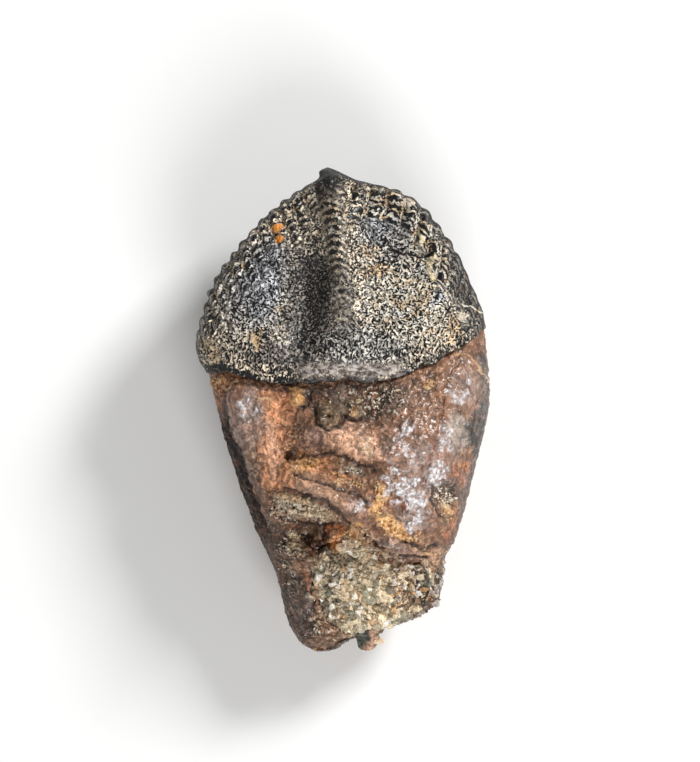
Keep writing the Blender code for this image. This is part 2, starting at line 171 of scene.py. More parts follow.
# %% [markdown]
# Lumps, hollows and folds are rounded heaps on the loft. Each has its middle, its half sizes, its turn in
# degrees and its height, and the hollows are below zero. Folds follow a line. The finest, such as pits,
# knobs, the chipped scale and what lies in the cavity, are too small for the solids, so they are only here.

# %% Lumps, hollows and folds
CROWN_FORMS = {
    "deep trough left of the ridge": (-2.9, 8.6, 1.6, 4.6, -6.0, -1.15),
    "shallow trough right of the ridge": (3.2, 12.2, 2.4, 4.2, 4.0, -0.5),
    "left field": (-6.8, 7.6, 2.6, 4.4, -20.0, 0.25),
    "right field": (6.3, 6.8, 3.0, 2.6, 20.0, 0.35),
    "chipped scale below the crack": (5.9, 10.6, 1.0, 1.2, 0.0, -0.15),
}
ROOT_FORMS = {
    "left shoulder": (-7.9, -0.3, 2.0, 3.4, -8.0, 0.75),
    "orange stripe": (-4.7, -2.0, 1.1, 3.8, -4.0, -0.45),
    "pebble under the base": (-3.7, 1.05, 0.72, 0.72, 0.0, 0.85),
    "dark hollow under the base": (2.0, 0.5, 4.4, 1.7, 0.0, -0.55),
    "large boss": (-1.0, -0.45, 1.15, 1.05, 0.0, 0.95),
    "middle boss": (1.1, -0.05, 0.95, 0.95, 0.0, 0.8),
    "small boss": (4.0, 1.0, 1.3, 0.9, 10.0, 0.45),
    "crusted hollow": (-1.2, -4.5, 2.7, 0.95, -12.0, -0.8),
    "grainy band": (-2.8, -7.4, 2.3, 0.85, -22.0, -0.45),
    "right bulge": (6.2, -2.8, 3.2, 5.6, 8.0, 0.9),
    "right shoulder": (9.0, 2.0, 1.7, 2.0, 0.0, 0.35),
    "crystal pit": (7.9, -6.7, 0.85, 1.15, 0.0, -0.7),
    "brown dent": (4.0, -7.2, 0.7, 0.6, 0.0, -0.12),
    "roll above the lip": (4.4, -10.7, 2.4, 0.7, -24.0, 0.75),
    "cavity behind the lip": (-2.2, -9.9, 1.9, 1.15, -10.0, -2.4),
    "iron lump in the cavity": (-0.65, -9.8, 0.55, 1.0, -10.0, 1.4),
    "dent inside the tongue": (-2.7, -16.2, 0.5, 1.0, 0.0, -0.4),
    "toe": (-2.1, -18.0, 1.3, 0.9, 0.0, 0.4),
    "broad end of the diagonal ridge": (1.0, -7.8, 1.7, 1.05, -35.0, 0.6),
    "round pit in the stripe": (-4.0, -3.5, 0.5, 0.5, 0.0, -0.75),
    "bead in the round pit": (-3.85, -3.55, 0.2, 0.2, 0.0, 0.5),
    "button on the bulge": (4.7, -2.0, 0.42, 0.42, 0.0, 0.14),
    "dimple in the large boss": (-1.15, -0.5, 0.3, 0.32, 0.0, -0.4),
    "left knob of the large boss": (-1.5, -0.1, 0.45, 0.5, 0.0, 0.3),
    "right knob of the large boss": (-0.55, -0.2, 0.4, 0.5, 0.0, 0.25),
}
BACK_FORMS = {
    "left groove of the root": (-4.7, -9.5, 1.3, 6.0, -8.0, -0.7),
    "right groove of the root": (5.4, -8.0, 1.5, 5.5, 8.0, -0.6),
    "left hollow of the crown": (-4.6, 11.2, 2.3, 4.6, 22.0, -0.6),
    "right hollow of the crown": (4.8, 11.4, 2.3, 4.6, -22.0, -0.6),
    "keel of the crown": (0.7, 13.0, 1.0, 4.5, 0.0, 0.35),
    "dent near the toe": (1.4, -14.6, 1.4, 1.7, 0.0, -0.5),
    "left swelling": (-8.0, 2.6, 1.6, 2.2, 0.0, 0.4),
    "right swelling": (8.4, 1.5, 1.7, 3.0, 0.0, 0.35),
}
CROWN_FOLDS = {
    "smooth band at the base": (((-3.3, 3.1), (0.2, 3.15), (4.4, 3.1)), 0.55, 0.25),
    "black crack": (((3.7, 12.4), (5.2, 12.05), (6.6, 12.1), (7.0, 12.4)), 0.1, -0.16),
}
ROOT_FOLDS = {
    "salmon fold": (((-2.2, -1.7), (0.2, -2.2), (1.7, -2.8), (3.3, -3.6)), 1.0, 0.75),
    "diagonal ridge": (((-4.1, -5.3), (-2.4, -5.9), (-1.0, -6.6), (0.2, -7.4), (1.5, -8.2)), 0.8, 1.0),
    "left strand in the cavity": (((-1.9, -8.8), (-1.9, -9.6), (-2.4, -10.6)), 0.17, 0.8),
    "right strand in the cavity": (((-1.9, -9.6), (-1.5, -10.6)), 0.15, 0.6),
    "crease at the left side": (((-8.5, 0.5), (-7.6, -3.3), (-6.3, -6.2), (-5.6, -8.3)), 0.65, 0.45),
    "tongue": (((-3.9, -11.2), (-3.6, -14.0), (-2.9, -17.0)), 1.0, 0.45),
    "tongue's inner rim": (((-2.75, -11.8), (-2.7, -14.7)), 0.4, 0.35),
    "rust crack": (((7.9, 1.1), (7.5, -0.9), (7.2, -2.5), (6.3, -5.6)), 0.1, -0.13),
    "short crack": (((7.3, -5.6), (8.0, -5.3), (8.6, -4.9)), 0.09, -0.1),
}

LIP_ACROSS = (-8.0, -4.7, -3.0, 0.0, 1.6, 2.6, 3.8, 5.5, 7.6, 9.0)
LIP_LINE = (-9.4, -8.6, -8.2, -8.7, -9.5, -10.7, -11.4, -11.8, -11.6, -10.8)
LIP_DROP = 1.1
LIP_SOFT = 0.3
LIP_RAGGED = 0.25
LIP_START = -6.5
LIP_START_SOFT = 2.5

PLUG_OUTLINE = ((-2.3, -11.2), (-1.2, -10.2), (0.3, -9.7), (1.7, -10.2), (2.9, -11.6), (4.6, -12.1))
PLUG_OUTLINE += ((6.1, -12.3), (6.7, -13.2), (6.5, -14.7), (5.6, -15.6), (4.2, -16.4), (2.9, -17.0))
PLUG_OUTLINE += ((2.75, -18.2), (2.2, -18.8), (1.3, -18.7), (1.0, -17.8), (0.0, -17.5), (-1.0, -16.8))
PLUG_OUTLINE += ((-1.9, -15.5), (-2.3, -13.4))
PLUG_MIDDLE = (2.3, -14.2)
PLUG_FLOOR = 4.2
PLUG_SINK = 0.35
ROOT_MIDDLE = 1.9
ROOT_HALF_WIDTH = 7.0
print("forms on the face:", len(CROWN_FORMS) + len(ROOT_FORMS), "on the back:", len(BACK_FORMS))

# %% [markdown]
# These helpers turn the lists into heights, and make soft steps and slow random waves. They work on whole
# arrays of points at once, which keeps a skin of a hundred thousand points quick to make.

# %% Helpers for lines, lumps and folds
LINE_STEPS = 24
HEAP_POWER = 1.3
LATTICE_SIZE = 64


def smoothstep(value):
    value = np.clip(value, 0.0, 1.0)
    return value * value * (3.0 - 2.0 * value)


def after(value, start, soft):
    """0 up to the start, and 1 from a soft step further on."""
    return smoothstep((value - start) / soft)


def before(value, end, soft):
    """0 from the end on, and 1 from a soft step further back."""
    return smoothstep((end - value) / soft)


def smooth_height(where, stations, heights):
    """A smooth line through a few stations: cubic spans whose slopes follow their neighbours."""
    stations = np.asarray(stations)
    heights = np.asarray(heights)
    slopes = np.gradient(heights, stations)
    where = np.clip(where, stations[0], stations[-1])
    span = np.clip(np.searchsorted(stations, where, side="right") - 1, 0, len(stations) - 2)
    width = stations[span + 1] - stations[span]
    part = (where - stations[span]) / width
    rise = smoothstep(part)
    leaving = part * (1.0 - part) ** 2 * width * slopes[span]
    arriving = part**2 * (1.0 - part) * width * slopes[span + 1]
    return (1.0 - rise) * heights[span] + leaving + rise * heights[span + 1] - arriving


def traced_line(points, closed=False):
    """A round line through the points, in fine steps, and the distance along it at each step."""
    points = np.asarray(points, float)
    if closed:
        padded = np.vstack([points[-1], points, points[:2]])
    else:
        padded = np.vstack([2 * points[0] - points[1], points, 2 * points[-1] - points[-2]])
    t = np.linspace(0.0, 1.0, LINE_STEPS, endpoint=False)[:, None]
    spans = []
    for a, b, c, d in zip(padded, padded[1:], padded[2:], padded[3:]):
        bend = 2 * a - 5 * b + 4 * c - d
        twist = 3 * b - 3 * c + d - a
        spans.append((2 * b + (c - a) * t + bend * t**2 + twist * t**3) / 2)
    spans.append(padded[-2][None])
    line = np.vstack(spans)
    pieces = np.linalg.norm(np.diff(line, axis=0), axis=1)
    return line, np.concatenate([[0.0], np.cumsum(pieces)])


def at_lengths(traced, lengths):
    line, length = traced
    return np.column_stack([np.interp(lengths, length, line[:, i]) for i in (0, 1)])


def form(x, y, across, along, half_width, half_length, turn):
    """A rounded lump: 1 in its middle, fading to 0 a little past its half sizes."""
    angle = np.radians(turn)
    dx = (x - across) * np.cos(angle) + (y - along) * np.sin(angle)
    dy = (y - along) * np.cos(angle) - (x - across) * np.sin(angle)
    return np.exp(-(((dx / half_width) ** 2 + (dy / half_length) ** 2) ** HEAP_POWER))


def distance_to_line(x, y, points):
    nearest = np.full(np.shape(x), np.inf)
    for (ax, ay), (bx, by) in zip(points, points[1:]):
        run = (bx - ax) ** 2 + (by - ay) ** 2
        part = np.clip(((x - ax) * (bx - ax) + (y - ay) * (by - ay)) / run, 0.0, 1.0)
        nearest = np.minimum(nearest, np.hypot(x - ax - part * (bx - ax), y - ay - part * (by - ay)))
    return nearest


def forms_relief(x, y, forms, folds):
    relief = np.zeros(np.shape(x))
    for *place, rise in forms.values():
        relief += rise * form(x, y, *place)
    for points, half_width, rise in folds.values():
        relief += rise * np.exp(-((distance_to_line(x, y, points) / half_width) ** 2))
    return relief


def wander(x, y, pitch, salt=0):
    """Smooth random waves from -1 to 1 with about the given distance between them."""
    size = LATTICE_SIZE
    lattice = np.random.default_rng(SEED + salt).uniform(-1.0, 1.0, (size, size))
    column = np.floor(x / pitch).astype(int)
    row = np.floor(y / pitch).astype(int)
    right = smoothstep(x / pitch - column)
    up = smoothstep(y / pitch - row)
    ends = []
    for level in (row % size, (row + 1) % size):
        left_end = lattice[column % size, level]
        ends.append(left_end * (1 - right) + lattice[(column + 1) % size, level] * right)
    return ends[0] * (1 - up) + ends[1] * up


left_line = traced_line(LEFT_EDGE)
right_line = traced_line(RIGHT_EDGE)
print("left side is", round(left_line[1][-1], 1), "mm long, right side", round(right_line[1][-1], 1), "mm")

# %% [markdown]
# Denticles are the small teeth of the margin. On the real crown each one starts a low ridge that runs down
# the face, almost straight towards the base, and fades out. So every point of the face is traced back up
# along that direction to the margin, and the ridges follow the distance along the margin where it arrives.
# The teeth differ in how far they stand out.

# %% Denticles and their ridges
LEFT_PITCH = 1.15
RIGHT_PITCH = 1.45
LEFT_WAY = (-0.34, 0.94)
RIGHT_WAY = (0.2, 0.98)
LEFT_BUMPS_END = 5.5
RIGHT_BUMPS_END = 11.5
BUMPS_TOP = 18.2
DENTICLE_OUT = 0.24
DENTICLE_DEPTH = 0.35
DENTICLE_UP = 0.3
DENTICLE_REACH = 2.6
DENTICLE_SIZES = (0.3, 1.2)
DENTICLES_AT_MOST = 64
RIM_END = 4.5
RIM_INSET = 0.8
RIGHT_FLANK = 0.8
RIGHT_FLANK_TOP = 12.5
RIM_HEIGHT = 0.35
RIM_WIDTH = 1.0
FADE = 1.5
MARGIN_STEPS = 400


def denticle_wave(length, pitch):
    """1 on a denticle, -1 between two."""
    return np.cos(2 * np.pi * length / pitch)


def denticle_push(edge, lengths, pitch, bumps_end, side):
    """How far each point of the crown's margin is moved outwards by its denticles."""
    direction = np.gradient(edge, axis=0)
    direction /= np.linalg.norm(direction, axis=1)[:, None]
    outward = np.column_stack([-direction[:, 1], direction[:, 0]]) * side
    on_crown = after(edge[:, 1], bumps_end, FADE) * before(edge[:, 1], BUMPS_TOP, FADE)
    sizes = np.random.default_rng(SEED + 51).uniform(*DENTICLE_SIZES, DENTICLES_AT_MOST)
    size = sizes[np.round(lengths / pitch).astype(int)]
    push = DENTICLE_OUT * size * on_crown * denticle_wave(lengths, pitch) / 2
    return outward * push[:, None]


def traced_to_margin(x, y, traced, way):
    """The distance along the margin where the ridge through each point starts, and how far up that is."""
    lengths = np.linspace(0.0, traced[1][-1] / 2, MARGIN_STEPS)
    margin = at_lengths(traced, lengths)
    key = margin[:, 0] * way[1] - margin[:, 1] * way[0]
    order = np.argsort(key)
    start = np.interp(x * way[1] - y * way[0], key[order], lengths[order])
    return start, np.clip((np.interp(start, lengths, margin[:, 1]) - y) / way[1], 0.0, None)


def margin_relief(y, from_edge, on_right, start, reach):
    """The raised rim of the face and the denticles' ridges, which fade as they run down."""
    on_crown = after(y, RIM_END, FADE)
    flank = RIGHT_FLANK * before(y, RIGHT_FLANK_TOP, 2 * FADE)
    inset = RIM_INSET + np.where(on_right, flank, 0.0)
    rim = RIM_HEIGHT * np.exp(-(((from_edge - inset) / RIM_WIDTH) ** 2))
    wave = denticle_wave(start, np.where(on_right, RIGHT_PITCH, LEFT_PITCH))
    ridges = DENTICLE_UP * wave / 2 * np.exp(-((reach / DENTICLE_REACH) ** 2))
    return on_crown * (rim + ridges)


def median_ridge(x, y):
    offset = x - smooth_height(y, RIDGE_STATIONS, RIDGE_PLACE)
    width = smooth_height(y, RIDGE_STATIONS, RIDGE_WIDTH)
    height = np.where(y > RIDGE_STATIONS[0], smooth_height(y, RIDGE_STATIONS, RIDGE_HEIGHT), 0.0)
    return height * np.exp(-((offset / width) ** 2))


def lip_step(x, y):
    below_lip = smooth_height(x, LIP_ACROSS, LIP_LINE) + LIP_RAGGED * wander(x, y, 0.8, 1) - y
    drop = LIP_DROP * after(x, LIP_START, LIP_START_SOFT)
    return drop * smoothstep(below_lip / LIP_SOFT + 0.5)


print("denticles on the left margin: about", round(left_line[1][-1] / 2 / LEFT_PITCH))

# %% [markdown]
# The enamel and the root are two skins. On a real tooth the enamel is a cap that ends in a step at the
# crown's base, so the crown's skin ends there in a rounded rim and the root's skin starts a little under
# it. The cross-sections bend to run along the base line, so that both skins meet right on it. Every point
# also keeps some measures for later. One of them, the face, is 1 on the side that is seen and fades on the
# back, softly and unevenly, so that no line shows where the painted face ends.

# %% Skins of the crown and the root
CROWN_ROWS = 246
ROOT_ROWS = 252
FACE_COLUMNS = 300
BACK_COLUMNS = 92
SECTION_HALF_WIDTH = 10.0
SECTION_HALF_HEIGHT = 6.0
SECTION_STEPS = 2000
ROUND_THE_EDGE = 0.1
ROUND_RAGGED = 0.12
ROUND_SOFT = 0.4
BEND_REACH = 9.0
BASE_RAGGED = 0.18
RIM_ROUND = 0.14
RIM_STEPS = 4
RIM_DEPTH = 1.0
TUCK = 0.35
ROOT_INSET = 0.1
HOLLOW_WALL = 0.3
HOLLOW_SINK = 1.6
HOLLOW_SINK_INSIDE = 1.5
TIP_START = 0.03


def even_turns(count, start, power):
    """Turns for half a cross-section, spaced evenly along its curve."""
    turn = np.linspace(0.0, np.pi, SECTION_STEPS)
    wide = SECTION_HALF_WIDTH * np.cos(turn)
    high = SECTION_HALF_HEIGHT * np.sin(turn) ** power
    length = np.concatenate([[0.0], np.cumsum(np.hypot(np.diff(wide), np.diff(high)))])
    return start + np.interp(np.linspace(0.0, length[-1], count, endpoint=False), length, turn)


def base_length(traced):
    """The distance along a side at which it crosses the crown's base line."""
    line, length = traced
    below = line[:, 1] < smooth_height(line[:, 0], BASE_ACROSS, BASE_LINE)
    return length[np.argmax(below)]


def plug_reach(x, y, grow=0.0):
    """How far inside the sandstone's outline each point is."""
    outline, _ = traced_line(PLUG_OUTLINE, closed=True)
    away = outline - np.array(PLUG_MIDDLE)
    angle = np.arctan2(away[:, 1], away[:, 0])
    order = np.argsort(angle)
    reach = np.linalg.norm(away, axis=1)[order] + grow
    here = np.arctan2(y - PLUG_MIDDLE[1], x - PLUG_MIDDLE[0])
    from_middle = np.hypot(x - PLUG_MIDDLE[0], y - PLUG_MIDDLE[1])
    return np.interp(here, angle[order], reach, period=2 * np.pi) - from_middle


def tooth_skin(left_lengths, right_lengths, enamel):
    """Points and measures for rows of points round the tooth, as arrays of rows and columns."""
    left = at_lengths(left_line, left_lengths)
    right = at_lengths(right_line, right_lengths)
    left_push = denticle_push(left, left_lengths, LEFT_PITCH, LEFT_BUMPS_END, -1.0)
    right_push = denticle_push(right, right_lengths, RIGHT_PITCH, RIGHT_BUMPS_END, 1.0)
    power = CROWN_FACE_POWER if enamel else ROOT_FACE_POWER
    turns = [even_turns(FACE_COLUMNS, 0.0, power), even_turns(BACK_COLUMNS, np.pi, BACK_POWER)]
    turn = np.concatenate(turns)[None, :]
    across = np.cos(turn)
    lift = np.abs(np.sin(turn))
    on_right = np.broadcast_to(across > 0, (len(left), turn.size))

    middle = (left + right) / 2
    half_way = (right - left) / 2
    half_length = np.linalg.norm(half_way, axis=1)[:, None]
    near_margin = np.exp(-((lift / DENTICLE_DEPTH) ** 2))
    push = [np.where(on_right, right_push[:, [i]], left_push[:, [i]]) * near_margin for i in (0, 1)]
    x = middle[:, [0]] + half_way[:, [0]] * across + push[0]
    y = middle[:, [1]] + half_way[:, [1]] * across + push[1]
    from_edge = (1.0 - np.abs(across)) * half_length

    seam = [at_lengths(line, [base_length(line)])[0] for line in (left_line, right_line)]
    chord = np.interp(x, [seam[0][0], seam[1][0]], [seam[0][1], seam[1][1]])
    from_seam = (left_lengths - base_length(left_line) + right_lengths - base_length(right_line)) / 2
    near_seam = smoothstep(1.0 - np.abs(from_seam) / BEND_REACH)[:, None]
    bend = smooth_height(x, BASE_ACROSS, BASE_LINE) + BASE_RAGGED * wander(x, 0.0 * x, 0.9, 2) - chord
    y = y + bend * near_seam * smoothstep(from_edge)

    to_end = np.minimum(left_lengths, left_line[1][-1] - left_lengths)
    end_round = np.sqrt(np.clip(to_end / END_ROUNDING, 0.0, 1.0))[:, None]
    right_share = (across + 1.0) / 2
    left_side = smooth_height(y, STATIONS, LEFT_SIDE)
    side = left_side + right_share * (smooth_height(y, STATIONS, RIGHT_SIDE) - left_side)
    to_face = (smooth_height(y, STATIONS, FACE) - side) * end_round
    to_back = (smooth_height(y, STATIONS, BACK) - side) * end_round

    starts = [traced_to_margin(x, y, left_line, LEFT_WAY), traced_to_margin(x, y, right_line, RIGHT_WAY)]
    start, reach = (np.where(on_right, r, l) for l, r in zip(*starts))
    below_base = smooth_height(x, BASE_ACROSS, BASE_LINE) - y
    if enamel:
        relief = median_ridge(x, y) + forms_relief(x, y, CROWN_FORMS, CROWN_FOLDS)
        relief += margin_relief(y, from_edge, on_right, start, reach)
    else:
        step = smooth_height(x, BASE_ACROSS, BASE_STEP)
        relief = forms_relief(x, y, ROOT_FORMS, ROOT_FOLDS) - lip_step(x, y)
        relief -= step * np.exp(-np.clip(below_base, 0.0, None) / BASE_RECOVERY)
    relief *= EDGE_SHARE + (1.0 - EDGE_SHARE) * smoothstep(from_edge / EDGE_FADE)
    face = np.broadcast_to(turn < np.pi, x.shape)
    z_face = side + to_face * lift**power + relief * end_round * (lift > 0)
    z_back = side + to_back * lift**BACK_POWER - forms_relief(x, y, BACK_FORMS, {}) * lift * end_round
    if not enamel:
        inside = smoothstep(plug_reach(x, y) / HOLLOW_WALL)
        z_face -= inside * np.clip(z_face - PLUG_FLOOR, 0.0, HOLLOW_SINK + HOLLOW_SINK_INSIDE * inside)
        inset = ROOT_INSET * np.exp(-np.clip(below_base, 0.0, None))
        x = x - inset * np.sign(across) * (1.0 - lift)
        z_back = z_back + inset * lift
        z_face = z_face - inset * lift
    z = np.where(face, z_face, z_back)
    behind = smoothstep((lift - ROUND_THE_EDGE + ROUND_RAGGED * wander(x, y, 1.1, 61)) / ROUND_SOFT)
    seen = np.where(face, 1.0, 1.0 - behind)
    measures = {"from_edge": from_edge, "below_base": below_base, "face": seen, "right": on_right}
    measures |= {"start": start, "reach": reach}
    return np.stack([x, y, z], axis=-1), measures


def more_rows(points, measures, rows, first=False):
    """Adds rows of points to a skin, with the measures of the row that they follow."""
    end = 0 if first else -1
    stack = [np.stack(rows), points] if first else [points, np.stack(rows)]
    grown = {}
    for name, values in measures.items():
        extra = np.repeat(values[end][None], len(rows), axis=0)
        grown[name] = np.concatenate([extra, values] if first else [values, extra])
    return np.concatenate(stack), grown


def rim_rows(points):
    """Rows that round the enamel's lower rim and carry it inwards."""
    last = points[-1]
    inward = last.mean(axis=0) - last
    inward[:, 1] = 0.0
    inward /= np.linalg.norm(inward, axis=1)[:, None]
    rows = []
    for angle in np.linspace(0.0, np.pi / 2, RIM_STEPS + 1)[1:]:
        drop = RIM_ROUND * np.array([0.0, -np.sin(angle), 0.0])
        rows.append(last + drop + inward * RIM_ROUND * (1.0 - np.cos(angle)))
    rows.append(rows[-1] + inward * RIM_DEPTH)
    return rows


left_base = base_length(left_line)
right_base = base_length(right_line)
crown_left = np.linspace(TIP_START, left_base, CROWN_ROWS)
crown_right = np.linspace(TIP_START, right_base, CROWN_ROWS)
crown_points, crown_measures = tooth_skin(crown_left, crown_right, enamel=True)
crown_points, crown_measures = more_rows(crown_points, crown_measures, rim_rows(crown_points))

root_left = np.linspace(left_base - TUCK, left_line[1][-1] - TIP_START, ROOT_ROWS)
root_right = np.linspace(right_base - TUCK, right_line[1][-1] - TIP_START, ROOT_ROWS)
root_points, root_measures = tooth_skin(root_left, root_right, enamel=False)
print("crown points:", crown_points.shape[:2], "root points:", root_points.shape[:2])

# %% [markdown]
# Stains, patches and speckle fields are colour, so they are painted and not raised. A few spots are
# painted highlights and painted shade. Each is a named spot with a paint, a place and a strength, and later
# ones lie over earlier ones. The spots' outlines wander a little, because no stain has a clean edge. The
# result goes on the skin as a colour attribute, and the materials add the fine pattern to it.

# %% Paints and spots
PAINTS = {
    "cream": srgb(226, 208, 172),
    "pale": srgb(226, 218, 202),
    "tan": srgb(212, 196, 174),
    "blue grey": srgb(180, 188, 204),
    "grey": srgb(178, 176, 172),
    "dim grey": srgb(142, 133, 124),
    "light ochre": srgb(208, 172, 126),
    "iron orange": srgb(214, 142, 66),
    "black": srgb(26, 23, 22),
    "brown": srgb(136, 102, 80),
    "red brown": srgb(150, 98, 68),
    "purple brown": srgb(160, 130, 116),
    # Purple grey is painted highlight on the root's bulges, folds and the bead in the pit.
    "purple grey highlight": srgb(160, 146, 142),
    "grey brown": srgb(130, 114, 102),
    "dark brown": srgb(84, 65, 52),
    "deep brown": srgb(72, 51, 38),
    "orange brown": srgb(212, 152, 112),
    "salmon": srgb(228, 184, 156),
    "skin tan": srgb(190, 152, 126),
    "ochre": srgb(206, 158, 100),
    "bright ochre": srgb(232, 184, 124),
    "olive": srgb(122, 104, 80),
    "olive ochre": srgb(160, 128, 92),
    "iron stain": srgb(204, 132, 74),
    "dark rust": srgb(176, 104, 52),
    "bright rust": srgb(250, 176, 104),
    "sand": srgb(232, 212, 178),
    "sand grey": srgb(158, 150, 132),
    "dirt": srgb(118, 96, 76),
    "slate": srgb(78, 74, 72),
    "violet": srgb(112, 100, 110),
    "green grey": srgb(100, 102, 90),
}

CROWN_LINES = "tan"
CROWN_SPOTS = (
    ("grey", -6.6, 9.4, 3.2, 5.0, -18.0, 0.8),
    ("blue grey", -6.2, 9.8, 1.7, 3.4, -18.0, 0.4),
    ("grey", 3.4, 13.8, 2.8, 3.2, 0.0, 0.8),
    ("blue grey", 2.9, 15.0, 1.5, 1.7, 0.0, 0.4),
    ("blue grey", 5.9, 10.4, 0.9, 1.4, 0.0, 0.8),
    ("pale", 5.6, 8.4, 4.2, 3.4, -20.0, 0.9),
    ("blue grey", 7.2, 8.6, 0.6, 0.6, 0.0, 0.7),
    ("blue grey", 4.4, 7.8, 0.6, 0.5, 0.0, 0.6),
    ("grey", 0.3, 5.0, 5.5, 1.8, 0.0, 0.8),
    ("dim grey", -4.6, 4.3, 3.8, 1.4, 0.0, 1.0),
    # The dim grey in the trough left of the ridge is painted shade.
    ("dim grey", -2.7, 8.8, 2.5, 4.6, -4.0, 1.0),
    ("dim grey", 0.1, 8.4, 1.1, 3.2, 0.0, 0.5),
    ("light ochre", 2.1, 12.6, 1.1, 0.9, 0.0, 0.75),
    ("light ochre", 2.6, 10.7, 1.1, 0.7, 0.0, 0.8),
    ("cream", -1.0, 15.2, 1.4, 1.0, 0.0, 0.6),
    ("iron orange", -5.15, 14.1, 0.5, 0.6, 0.0, 1.0),
    ("iron orange", -4.95, 13.1, 0.35, 0.5, 0.0, 1.0),
    ("light ochre", -6.7, 5.6, 0.5, 1.0, 0.0, 1.0),
    ("light ochre", -10.3, 5.0, 0.6, 1.2, 0.0, 0.8),
    ("light ochre", 8.6, 6.4, 0.6, 1.5, 0.0, 0.8),
    ("cream", 6.4, 13.6, 0.5, 1.4, 0.0, 1.0),
    ("cream", 7.2, 11.0, 0.5, 1.6, 0.0, 1.0),
)

